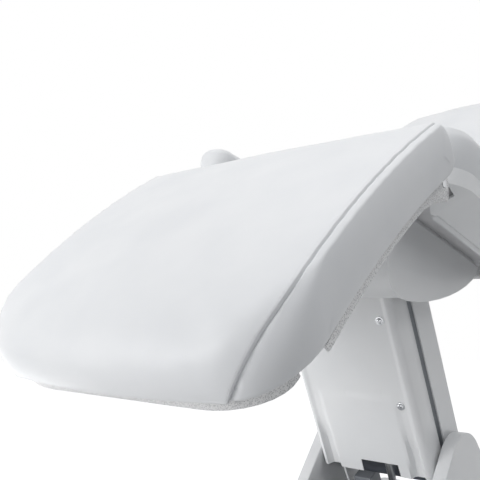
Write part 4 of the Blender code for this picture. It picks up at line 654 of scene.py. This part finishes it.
class BoxPad:
    """A pad on a rounded plan: a band round it, a seam at the band's top and a crowned panel.

    Rings 0 to 1 climb the band from the base to the seam, and 1 to 2 cross the panel to the middle.
    """

    def __init__(self, plan, levels, place, centre):
        self.low, self.high, self.half, self.corner_low, self.corner_high = plan
        self.bottom, self.top, self.crown, self.bulge = levels
        self.place = place
        self.centre = centre
        self.reach = min(self.half, (self.high - self.low) / 2) - BOX_PANEL_END
        self.count = len(self.ring(0.0))

    def ring(self, inset):
        """A closed rounded outline of (x, s) points, drawn in by inset."""
        low = self.low + inset
        high = self.high - inset
        half = self.half - inset
        near = max(self.corner_low - inset, BOX_LEAST_RADIUS)
        far = max(self.corner_high - inset, BOX_LEAST_RADIUS)
        right = []
        for step in range(BOX_CORNER_STEPS + 1):
            angle = math.radians(90 * step / BOX_CORNER_STEPS - 90)
            right.append((half - near + near * math.cos(angle), low + near + near * math.sin(angle)))
        for step in range(1, BOX_SIDE_STEPS):
            right.append((half, low + near + (high - far - low - near) * step / BOX_SIDE_STEPS))
        for step in range(BOX_CORNER_STEPS + 1):
            angle = math.radians(90 * step / BOX_CORNER_STEPS)
            right.append((half - far + far * math.cos(angle), high - far + far * math.sin(angle)))
        shares = [2 * step / BOX_END_STEPS for step in range(1, BOX_END_STEPS)]
        across = [((half - far) * (1.0 - share), high) for share in shares]
        closing = [((half - near) * (share - 1.0), low) for share in shares]
        return right + across + [(-x, s) for x, s in right[::-1]] + closing

    def point(self, ring, index, detail):
        """The place of one point, with the sewn details or as the plain form that is then inflated."""
        span = self.top - self.bottom
        seam_inset = self.bulge + BOX_SHOULDER
        if ring <= 1.0:
            inset = self.bulge * (2.0 * ring - 1.0) ** 2
            inset += BOX_SHOULDER * smooth(ring, BOX_SHOULDER_START, 1.0)
            height = self.bottom + span * ring
        else:
            share = ring - 1.0
            inset = seam_inset + (self.reach - seam_inset) * share
            height = self.top + self.crown * math.sin(share * math.pi / 2) ** BOX_CROWN_POWER
        x, s = self.ring(inset)[index]
        if detail:
            gap = (ring - 1.0) * (self.reach if ring > 1.0 else span)
            height -= BOX_SEAM_DEPTH * math.exp(-(gap / BOX_SEAM_WIDTH) ** 2)
            height += BOX_RIPPLE * ripple(x, s * BOX_RIPPLE_PITCH) * smooth(ring, 1.0, 1.5)
            wave = math.sin((x + s) * BOX_PUCKER_TURNS)
            height += BOX_PUCKER * wave * math.exp(-(gap / BOX_PUCKER_REACH) ** 2)
        return self.place(self.centre + x, s, height)

    def plain_rings(self):
        """Ring numbers of the form that is inflated."""
        band = [step / BOX_PLAIN_BAND for step in range(BOX_PLAIN_BAND + 1)]
        return band + [1.0 + step / BOX_PLAIN_PANEL for step in range(1, BOX_PLAIN_PANEL + 1)]

    def fine_rings(self):
        """Ring numbers of the finished piece, close together at the seam."""
        span = self.top - self.bottom
        close = SEAM_GAPS[:BOX_CLOSE_ROWS]
        band = [ring for ring in BOX_BAND_RINGS if ring < 1.0 - close[-1] / span - BOX_BAND_MARGIN]
        band += [1.0 - gap / span for gap in close[::-1]]
        near = [1.0 + gap / self.reach for gap in SEAM_GAPS]
        first = near[-1]
        panel = [first + (2.0 - first) * step / BOX_PANEL_RINGS for step in range(1, BOX_PANEL_RINGS + 1)]
        return band + [1.0] + near + panel

    def held(self, ring, index):
        """Whether a point is sewn or rests on the board, so that pressure doesn't move it."""
        return ring < BOX_BASE_RING or abs(ring - 1.0) < RING_TOLERANCE


# Inflation by cloth simulation, and the angle above which a pad's edges stay sharp
CLOTH_FRAMES = 20
CLOTH_SETTINGS = {
    "quality": 6, "mass": 0.4, "tension_stiffness": 40, "compression_stiffness": 40, "shear_stiffness": 20,
    "bending_stiffness": 4, "air_damping": 4, "use_pressure": True, "vertex_group_mass": "held",
}
PAD_SMOOTH_ANGLE = 75


def inflate(pad, limit, pressure):
    """How far air pressure moves each point of a pad's plain form, from a cloth simulation."""
    rings = pad.plain_rings()
    start = [[pad.point(ring, index, False) for index in range(pad.count)] for ring in rings]
    shifts = [[Vector() for place in loop] for loop in start]
    shape = tube_mesh(start)
    mesh = bpy.data.meshes.new("inflating")
    shape.to_mesh(mesh)
    shape.free()
    item = bpy.data.objects.new("inflating", mesh)
    scene = bpy.context.scene
    scene.collection.objects.link(item)
    order = [(row, index) for row in range(len(rings)) for index in range(pad.count)]
    pinned = [place for place, (row, index) in enumerate(order) if pad.held(rings[row], index)]
    item.vertex_groups.new(name="held").add(pinned, 1.0, "REPLACE")
    cloth = item.modifiers.new("cloth", "CLOTH")
    for key, value in CLOTH_SETTINGS.items():
        setattr(cloth.settings, key, value)
    cloth.settings.uniform_pressure_force = pressure
    cloth.settings.effector_weights.gravity = 0.0
    cloth.point_cache.frame_start = 1
    cloth.point_cache.frame_end = CLOTH_FRAMES
    for frame in range(1, CLOTH_FRAMES + 1):
        scene.frame_set(frame)
    moved = item.evaluated_get(bpy.context.evaluated_depsgraph_get()).data
    for place, (row, index) in enumerate(order):
        shift = moved.vertices[place].co - start[row][index]
        if shift.length > limit:
            shift *= limit / shift.length
        shifts[row][index] = shift
    bpy.data.objects.remove(item, do_unlink=True)
    bpy.data.meshes.remove(mesh)
    scene.frame_set(1)
    return rings, shifts


def build_pad(name, pad, limit, pressure):
    """Inflate a pad's plain form and carry its shape over to the finely sewn piece."""
    rings, shifts = inflate(pad, limit, pressure)
    loops = []
    for ring in pad.fine_rings():
        above = 1
        while above < len(rings) - 1 and rings[above] < ring:
            above += 1
        below = above - 1
        share = min(1.0, max(0.0, (ring - rings[below]) / (rings[above] - rings[below])))
        loop = []
        for index in range(pad.count):
            shift = shifts[below][index].lerp(shifts[above][index], share)
            loop.append(pad.point(ring, index, True) + shift)
        loops.append(loop)
    return add_mesh(name, tube_mesh(loops), PAD_SMOOTH_ANGLE), loops


# Stitches: their distance from the seam, first point of the row, pitch, length, width and rise,
# and the (share of the length, scale) of the loops of one thread
STITCH_INSET = 0.0060
STITCH_FIRST = 3
STITCH_PITCH = 0.0060
STITCH_LENGTH = 0.0042
STITCH_WIDTH = 0.0008
STITCH_RISE = 0.0004
STITCH_SIDES = 6
STITCH_LOOPS = ((-0.5, 0.35), (-0.3, 1.0), (0.3, 1.0), (0.5, 0.35))
STITCH_LIFT = 0.15
STITCH_DIP = 0.3
STITCH_SMOOTH_ANGLE = 60
NO_LENGTH = 1e-7


def add_stitch(shape, middle, along, normal):
    """One short thread that lies on a surface and dips into it at both ends."""
    across = along.cross(normal).normalized()
    loops = []
    for share, scale in STITCH_LOOPS:
        dip = STITCH_RISE * STITCH_DIP * (1.0 - scale)
        base = middle + along * (share * STITCH_LENGTH) - normal * dip
        loop = []
        for side in range(STITCH_SIDES):
            angle = 2 * math.pi * side / STITCH_SIDES
            wide = across * (STITCH_WIDTH / 2 * scale * math.cos(angle))
            loop.append(base + wide + normal * (STITCH_RISE / 2 * scale * math.sin(angle)))
        loops.append(loop)
    add_tube(shape, loops)


def row_normals(loop, inner, chosen):
    """Outward directions along a row of a pad, from the row beside it."""
    middle = sum(loop, Vector()) / len(loop)
    normals = []
    for first, second in zip(chosen, chosen[1:]):
        along = loop[second] - loop[first]
        normal = along.cross(inner[first] - loop[first]).normalized()
        if normal.dot(loop[first] - middle) < 0:
            normal = -normal
        normals.append(normal)
    return normals


def sew(name, pad, loops, ring, chosen, body, mats):
    """Topstitching along one ring of a finished pad, one thread every pitch."""
    rings = pad.fine_rings()
    row = min(range(len(rings)), key=lambda place: abs(rings[place] - ring))
    loop = loops[row]
    normals = row_normals(loop, loops[row - 1 if ring > 0 else row + 1], chosen)
    points = [loop[index] for index in chosen]
    shape = bmesh.new()
    travelled = 0.0
    due = STITCH_PITCH / 2
    for start, end, normal in zip(points, points[1:], normals):
        step = (end - start).length
        if step < NO_LENGTH:
            continue
        along = (end - start).normalized()
        while due <= travelled + step:
            middle = start + along * (due - travelled) + normal * (STITCH_RISE * STITCH_LIFT)
            add_stitch(shape, middle, along, normal)
            due += STITCH_PITCH
        travelled += step
    threads = add_mesh(name, shape, STITCH_SMOOTH_ANGLE)
    threads.data.materials.append(mats["thread"])
    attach(threads, body)


# Measures of the wrapped pads. Radii: start top, end top, end low, start low.
# Half width and corners: start, end.
LEG_SPEC = {
    "length": 0.516, "thickness": LEG_THICKNESS, "radii": (0.013, 0.066, 0.011, 0.024),
    "half": (0.2960, 0.2810), "corners": (0.010, 0.085), "end_sag": 0.016, "shoulder": 0.0060,
    "roll": 0.0050, "bulge": 0.0130, "seam_turn": 0.075, "groove": 0.0030, "crown": 0.007,
    "ripple": 0.0011, "pucker": 0.00030, "rows": 46, "columns": 17,
}
BACK_SPEC = {
    "length": BACK_LENGTH + BACK_NOSE, "thickness": BACK_THICKNESS, "radii": (0.044, 0.050, 0.016, 0.044),
    "half": (0.2735, 0.2715), "corners": (0.030, 0.070), "end_sag": 0.004, "shoulder": 0.0060,
    "roll": 0.0050, "bulge": 0.0130, "seam_turn": 0.050, "groove": 0.0030, "crown": 0.007,
    "ripple": 0.0012, "pucker": 0.00030, "rows": 60, "columns": 15,
}
HEAD_SPEC = {
    "length": HEAD_LENGTH, "thickness": HEAD_THICKNESS - HEAD_SPARE, "radii": (0.026, 0.026, 0.014, 0.014),
    "half": (0.1330, 0.1330), "corners": (0.034, 0.034), "end_sag": 0.002, "shoulder": 0.0060,
    "roll": 0.0045, "bulge": 0.0115, "seam_turn": 0.030, "groove": 0.0026, "crown": 0.006,
    "ripple": 0.0008, "pucker": 0.00025, "rows": 16, "columns": 10,
}
WRAPS = (
    ("leg", LEG_SPEC, leg_point, "leg_cushion", "leg"),
    ("back", BACK_SPEC, back_pad_point, "back_cushion", "back"),
    ("head", HEAD_SPEC, head_pad_point, "headrest_cushion", "headrest"),
)

# Fill of the pads, and the furthest shift and the pressure of their inflation
PAD_LIMIT = 0.006
PAD_PRESSURE = 4.0
ARMREST_LIMIT = 0.003
ARMREST_PRESSURE = 3.0
SIDES = (("left", 1.0), ("right", -1.0))


def dress_pad(piece, node, body, mats):
    """Give a padded piece its leather, its body and the CAD node it stands for."""
    dress(piece, "white_leather", body, mats)
    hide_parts(node)


def make_pads(mats):
    """All the padded pieces and their topstitching."""
    for label, spec, place, node, body in WRAPS:
        pad = WrapPad(spec, place)
        piece, loops = build_pad(f"{label}_pad", pad, PAD_LIMIT, PAD_PRESSURE)
        dress_pad(piece, node, body, mats)
        over_end = 2 * (CORNER_STEPS + 1) + spec["rows"] - 1 + END_STEPS - 1
        chosen = list(range(STITCH_FIRST, over_end))
        for word, side in SIDES:
            ring = side * (1.0 - STITCH_INSET / pad.seams[0])
            sew(f"{label}_stitches_{word}", pad, loops, ring, chosen, body, mats)

    seat = BoxPad(SEAT_PLAN, SEAT_LEVELS, seat_point, 0.0)
    piece = build_pad("seat_pad", seat, PAD_LIMIT, PAD_PRESSURE)[0]
    dress_pad(piece, "seat_cushion", "seat", mats)
    for word, side in SIDES:
        pad = BoxPad(ARMREST_PLAN, ARMREST_LEVELS, armrest_point, side * ARMREST_MIDDLE)
        piece = build_pad(f"arm_pad_{word}", pad, ARMREST_LIMIT, ARMREST_PRESSURE)[0]
        dress_pad(piece, f"armrest_pad_{word}", f"armrest_{word}", mats)


# Arm cover, in the arm's frame
ARM_PLACE = (0.0, 0.118, 0.25)
ARM_TURN = math.radians(24)
ARM_MAP = Matrix.Translation(ARM_PLACE) @ turn_x(ARM_TURN)
COVER_HALF_WIDTH = 0.120
COVER_FRONT = 0.074
COVER_SEAM = 0.009
COVER_ROLL = 0.0055
COVER_ROLL_SPAN = (0.35, 1.15)
COVER_LOW = 0.022
COVER_HIGH = 0.425
COVER_CORNER = 0.012
COVER_WALL = 0.003
FRONT_WALL = 0.0012
COVER_BORE = 0.038
BORE_HEIGHTS = (0.0, 0.420)
NOTCH_SPAN = (-0.025, 0.055)
NOTCH_TOP = 0.048
NOTCH_EDGE = 0.0003

# Sunk panel of the cover, its step and the scooped hollow at each lower corner
PANEL_EDGE = 0.1075
PANEL_BLEND = 0.006
PANEL_SINK = 0.0024
PANEL_BEND = 0.200
PANEL_BEND_BLEND = 0.020
PANEL_STEP = 0.0022
PANEL_STEP_INSIDE = 0.002
SCOOP_EDGE = 0.080
SCOOP_BLEND = 0.006
SCOOP_SLANT = 0.10
SCOOP_SLANT_TOP = 0.06
SCOOP_TOP = 0.140
SCOOP_RISE = 0.075
SCOOP_DEPTH = 0.0085
SCOOP_RIM_INSIDE = 0.008
SCOOP_RIM_OUTSIDE = 0.001

# Mesh of the cover
COVER_ROWS = 64
FRONT_PITCH = 0.0045
FRONT_COLUMNS = 24
ROUND_COLUMNS = 8
SIDE_COLUMNS = 8
COVER_SMOOTH_ANGLE = 35
COVER_EDGE = 0.0007
COVER_EDGE_STEPS = 2
COVER_EDGE_ANGLE = 60


def cover_sink(x, z):
    """How deep the arm's front panel lies behind its rim, with a scooped hollow at each lower corner."""
    across = abs(x)
    panel = PANEL_SINK * (1.0 - smooth(across, PANEL_EDGE - PANEL_BLEND, PANEL_EDGE))
    low = smooth(PANEL_BEND - z, 0.0, PANEL_BEND_BLEND)
    middle = 1.0 - smooth(across, SCOOP_EDGE - PANEL_STEP_INSIDE, SCOOP_EDGE + SCOOP_BLEND)
    panel -= PANEL_STEP * low * middle
    edge = SCOOP_EDGE - SCOOP_SLANT * max(0.0, SCOOP_SLANT_TOP - z)
    hollow = smooth(SCOOP_TOP - z, 0.0, SCOOP_RISE) * smooth(across, edge, edge + SCOOP_BLEND)
    hollow *= 1.0 - smooth(across, PANEL_EDGE - SCOOP_RIM_INSIDE, PANEL_EDGE + SCOOP_RIM_OUTSIDE)
    return panel + SCOOP_DEPTH * hollow


def cover_rear(z):
    """Where the cover's side ends, drawn back round the arm's two pivots."""
    end = COVER_SEAM
    for height in BORE_HEIGHTS:
        reach = COVER_BORE ** 2 - (z - height) ** 2
        if reach > 0.0:
            end = max(end, math.sqrt(reach))
    return -end


def cover_columns():
    """Places across the cover from one rear edge over the front to the other, as (kind, value, side)."""
    half = [("front", FRONT_PITCH * step) for step in range(FRONT_COLUMNS)]
    for value in NOTCH_SPAN:
        half += [("front", abs(value) - NOTCH_EDGE), ("front", abs(value) + NOTCH_EDGE)]
    half = sorted(half, key=lambda item: item[1])
    half += [("corner", 90.0 * step / ROUND_COLUMNS) for step in range(ROUND_COLUMNS + 1)]
    half += [("side", step / SIDE_COLUMNS) for step in range(1, SIDE_COLUMNS + 1)]
    right = [(kind, value, -1.0) for kind, value in half[:0:-1]]
    left = [(kind, value, 1.0) for kind, value in half]
    return right + left


def cover_point(column, share, inside):
    """A point of the cover's outer or inner surface; share runs up the arm."""
    kind, value, side = column
    wall = 0.0
    if inside:
        wall = FRONT_WALL if kind == "front" else COVER_WALL
    low = COVER_LOW
    if kind == "front" and NOTCH_SPAN[0] < side * value < NOTCH_SPAN[1]:
        low = NOTCH_TOP
    z = low + (COVER_HIGH - low) * share
    middle_x = COVER_HALF_WIDTH - COVER_CORNER
    middle_y = COVER_CORNER - COVER_FRONT
    if kind == "front":
        x = value
        y = -COVER_FRONT + cover_sink(value, z) + wall
    elif kind == "corner":
        angle = math.radians(value)
        x = middle_x + (COVER_CORNER - wall) * math.sin(angle)
        y = middle_y - (COVER_CORNER - wall) * math.cos(angle)
    else:
        x = COVER_HALF_WIDTH - wall - COVER_ROLL * smooth(value, *COVER_ROLL_SPAN)
        y = middle_y + (cover_rear(z) - middle_y) * value
    return ARM_MAP @ Vector((side * x, y, z))


def make_arm_cover(mats):
    """The arm's sculpted front cover."""
    columns = cover_columns()
    shape = bmesh.new()
    rows = []
    for row in range(COVER_ROWS + 1):
        share = row / COVER_ROWS
        outer = [cover_point(column, share, False) for column in columns]
        inner = [cover_point(column, share, True) for column in columns]
        rows.append([shape.verts.new(place) for place in outer + inner[::-1]])
    join_rows(shape, rows)
    for row in (rows[0], rows[-1]):
        for index in range(len(columns) - 1):
            shape.faces.new((row[index], row[index + 1], row[-index - 2], row[-index - 1]))
    cover = add_mesh("arm_front_shell", shape, COVER_SMOOTH_ANGLE)
    soften(cover, COVER_EDGE, COVER_EDGE_STEPS, COVER_EDGE_ANGLE)
    dress(cover, "white_plastic", "arm", mats)
    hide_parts("arm_front_cover")


# Screws of the cover: (radius, rise) from the shank over the washer to the head, and the cross recess
SCREW_PLACES = ((0.090, 0.176), (0.090, 0.345), (-0.090, 0.345))
SCREW_LOOPS = (
    (0.0055, 0.0100), (0.0082, -0.0002), (0.0080, -0.0010), (0.0064, -0.0012),
    (0.0060, -0.0006), (0.0056, -0.0008), (0.0054, -0.0022), (0.0046, -0.0032),
    (0.0036, -0.0037), (0.0026, -0.0039), (0.0014, -0.0040),
)
SCREW_SIDES = 48
SCREW_SMOOTH_ANGLE = 30
RECESS_DEPTH = 0.0022
RECESS_HALF_WIDTH = (0.0005, 0.0009)
RECESS_REACH = (0.0034, 0.0044)


def make_screw(number, x, z, mats):
    """A pan-head screw with a cross recess and a washer ring under it."""
    y = -COVER_FRONT + cover_sink(x, z)
    loops = []
    for radius, rise in SCREW_LOOPS:
        loop = []
        for side in range(SCREW_SIDES):
            angle = 2 * math.pi * side / SCREW_SIDES
            across = min(abs(math.sin(angle)), abs(math.cos(angle))) * radius
            cross = 1.0 - smooth(across, *RECESS_HALF_WIDTH)
            sunk = RECESS_DEPTH * cross * (1.0 - smooth(radius, *RECESS_REACH))
            place = (x + radius * math.cos(angle), y + rise + sunk, z + radius * math.sin(angle))
            loop.append(ARM_MAP @ Vector(place))
        loops.append(loop)
    screw = add_trim(f"cross_screw_{number}", loops, SCREW_SMOOTH_ANGLE, "bright_steel", "arm", mats)
    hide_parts(f"cover_screw_{number}")


# Liners behind the grooves between the arm's covers, and a guard plate inside the arm's lower end
LINER_SECTION = ((0.1125, -0.024), (0.1090, -0.016), (0.1078, -0.008), (0.1090, 0.001), (0.1160, 0.006),
                 (0.1148, 0.007), (0.1075, 0.002), (0.1062, -0.008), (0.1075, -0.017), (0.1115, -0.025))
LINER_SPAN = (0.040, 0.386)
LINER_ROWS = 12
GUARD_SPAN_X = (-0.112, -0.056)
GUARD_SPAN_Z = (-0.060, 0.027)
GUARD_Y = 0.0345
GUARD_THICKNESS = 0.0015
GUARD_FOLD = 0.006
GUARD_FOLD_END = 0.25
GUARD_STEPS = 10


def make_arm_inside(mats):
    """What shows of the arm's inside: a grey liner at each groove and a dark folded guard plate."""
    for word, side in SIDES:
        loops = []
        for row in range(LINER_ROWS + 1):
            z = LINER_SPAN[0] + (LINER_SPAN[1] - LINER_SPAN[0]) * row / LINER_ROWS
            loops.append([ARM_MAP @ Vector((side * x, y, z)) for x, y in LINER_SECTION])
        add_trim(f"groove_liner_{word}", loops, PLAIN_SMOOTH_ANGLE, "grey_plastic", "arm", mats)
    low, high = GUARD_SPAN_X
    loops = []
    for step in range(GUARD_STEPS + 1):
        share = step / GUARD_STEPS
        z = GUARD_SPAN_Z[0] + (GUARD_SPAN_Z[1] - GUARD_SPAN_Z[0]) * share
        near = GUARD_Y - GUARD_FOLD * smooth(share, GUARD_FOLD_END, 0.0)
        far = near + GUARD_THICKNESS
        section = ((low, near), (high, near), (high, far), (low, far))
        loops.append([ARM_MAP @ Vector((x, y, z)) for x, y in section])
    add_trim("arm_guard_plate", loops, PLAIN_SMOOTH_ANGLE, "dark_steel", "arm", mats)


# Rolled inner edge of the rim below the seat, in the seat's frame, with (reach, scale) at its rounded ends
BEAD_X = 0.2235
BEAD_Z = 0.0455
BEAD_BACK = 0.232
BEAD_FRONT = -0.108
BEAD_RADIUS = 0.0055
BEAD_SIDES = 16
BEAD_ENDS = ((0.0, 0.35), (0.0012, 0.68), (0.0030, 0.90), (0.0055, 1.0))
BEAD_SMOOTH_ANGLE = 70


def make_skirt_beads(mats):
    """The rounded lip along the inner edge of each side's rim."""
    stations = [(BEAD_BACK - reach, scale) for reach, scale in BEAD_ENDS]
    stations += [(BEAD_FRONT + reach, scale) for reach, scale in BEAD_ENDS[::-1]]
    for word, side in SIDES:
        loops = []
        for y, scale in stations:
            loop = []
            for step in range(BEAD_SIDES):
                angle = 2.0 * math.pi * step / BEAD_SIDES
                x = BEAD_X + BEAD_RADIUS * scale * math.cos(angle)
                loop.append(seat_point(side * x, y, BEAD_Z + BEAD_RADIUS * scale * math.sin(angle)))
            loops.append(loop)
        add_trim(f"skirt_bead_{word}", loops, BEAD_SMOOTH_ANGLE, "white_plastic", "seat", mats)


# Carried-over CAD nodes and the rounding of their edges
SOFT_EDGES = {
    "arm_rear_cover": 0.0012, "ear_cover_left": 0.004, "ear_cover_right": 0.004,
    "base_cover": 0.002, "base_plate": 0.002, "pod_cover": 0.005, "seat_skirt_left": 0.0012,
    "seat_skirt_right": 0.0012, "leg_end_board": 0.002, "seat_board": 0.002, "back_board": 0.002,
    "leg_frame": 0.0008, "back_frame": 0.0008, "armrest_post_left": 0.001, "armrest_post_right": 0.001,
    "armrest_bar_left": 0.001, "armrest_bar_right": 0.001, "back_hinge_plate_left": 0.001,
    "back_hinge_plate_right": 0.001, "seat_front_tube": 0.002, "seat_rear_tube": 0.002,
    "lift_motor": 0.001, "leg_motor": 0.001, "back_motor": 0.001, "parallel_link": 0.001,
}
SOFT_EDGE_STEPS = 3
SOFT_EDGE_ANGLE = 35
WELD_REACH = 0.00001


def dress_nodes(frame, mats):
    """Give every carried-over CAD node its finish and soften its edges."""
    slots = {part["node"]: part["material_slot"] for part in frame["record"]["subparts"]}
    for name, item in frame["nodes"].items():
        item.data.materials.clear()
        item.data.materials.append(mats[slots[name]])
        if name in SOFT_EDGES:
            item.modifiers.new("weld", "WELD").merge_threshold = WELD_REACH
            soften(item, SOFT_EDGES[name], SOFT_EDGE_STEPS, SOFT_EDGE_ANGLE)
            item.modifiers.new("normals", "WEIGHTED_NORMAL")


# Stage


def make_camera():
    """The photograph's camera."""
    data = bpy.data.cameras.new("camera")
    data.lens = CAMERA_LENS
    data.sensor_width = CAMERA_SENSOR
    data.clip_start = CAMERA_NEAR
    camera = bpy.data.objects.new("camera", data)
    bpy.context.scene.collection.objects.link(camera)
    camera.location = CAMERA_PLACE
    camera.rotation_euler = (math.pi / 2 + CAMERA_PITCH, 0.0, CAMERA_YAW)
    bpy.context.scene.camera = camera


def make_light(name, place, target, size, power):
    """A soft square lamp that faces a point."""
    data = bpy.data.lights.new(name, "AREA")
    data.shape = "SQUARE"
    data.size = size
    data.energy = power
    lamp = bpy.data.objects.new(name, data)
    bpy.context.scene.collection.objects.link(lamp)
    lamp.location = place
    lamp.rotation_euler = (Vector(target) - Vector(place)).to_track_quat("-Z", "Y").to_euler()


def seen_mix(tree, lit, shown, output):
    """Show one shader to the camera and in mirrors and glass, and light with another."""
    path = tree.nodes.new("ShaderNodeLightPath")
    seen = path.outputs["Is Camera Ray"]
    for word in ("Is Glossy Ray", "Is Transmission Ray"):
        most = tree.nodes.new("ShaderNodeMath")
        most.operation = "MAXIMUM"
        tree.links.new(seen, most.inputs[0])
        tree.links.new(path.outputs[word], most.inputs[1])
        seen = most.outputs[0]
    mix = tree.nodes.new("ShaderNodeMixShader")
    tree.links.new(seen, mix.inputs["Fac"])
    tree.links.new(lit, mix.inputs[1])
    tree.links.new(shown, mix.inputs[2])
    tree.links.new(mix.outputs[0], output.inputs["Surface"])


def make_surroundings():
    """White to look at, and a low even light on the chair."""
    world = bpy.data.worlds.new("surroundings")
    bpy.context.scene.world = world
    world.use_nodes = True
    tree = world.node_tree
    lit = tree.nodes["Background"]
    lit.inputs["Color"].default_value = WORLD_TINT
    lit.inputs["Strength"].default_value = WORLD_LIGHT
    shown = tree.nodes.new("ShaderNodeBackground")
    shown.inputs["Color"].default_value = WHITE
    shown.inputs["Strength"].default_value = 1.0
    seen_mix(tree, lit.outputs[0], shown.outputs[0], tree.nodes["World Output"])


def make_floor():
    """A pale floor that keeps the shadow."""
    shape = bmesh.new()
    bmesh.ops.create_grid(shape, x_segments=1, y_segments=1, size=FLOOR_SIZE)
    floor = add_mesh("floor", shape, PLAIN_SMOOTH_ANGLE)
    floor.location = (0.0, 0.0, -FLOOR_DROP)
    made = Finish("floor_white")
    made.constant("Base Color", FLOOR_TINT)
    made.constant("Roughness", FLOOR_ROUGHNESS)
    glow = made.add("ShaderNodeEmission", Color=WHITE, Strength=FLOOR_GLOW)
    both = made.add("ShaderNodeAddShader")
    made.link(made.shader.outputs[0], both.inputs[0])
    made.link(glow.outputs[0], both.inputs[1])
    seen_mix(made.tree, made.shader.outputs[0], both.outputs[0], made.tree.nodes["Material Output"])
    floor.data.materials.append(made.material)


def make_stage():
    """White surroundings, a pale floor and soft lamps."""
    bpy.context.scene.view_settings.view_transform = "Standard"
    make_surroundings()
    make_floor()
    for lamp in LAMPS:
        make_light(*lamp)


def main():
    """Build the dressed chair."""
    for item in list(bpy.data.objects):
        bpy.data.objects.remove(item, do_unlink=True)
    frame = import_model()
    make_camera()
    mats = make_materials()
    dress_nodes(frame, mats)
    make_pads(mats)
    make_arm_cover(mats)
    for number, (x, z) in enumerate(SCREW_PLACES, 1):
        make_screw(number, x, z, mats)
    make_arm_inside(mats)
    make_skirt_beads(mats)
    make_stage()


main()
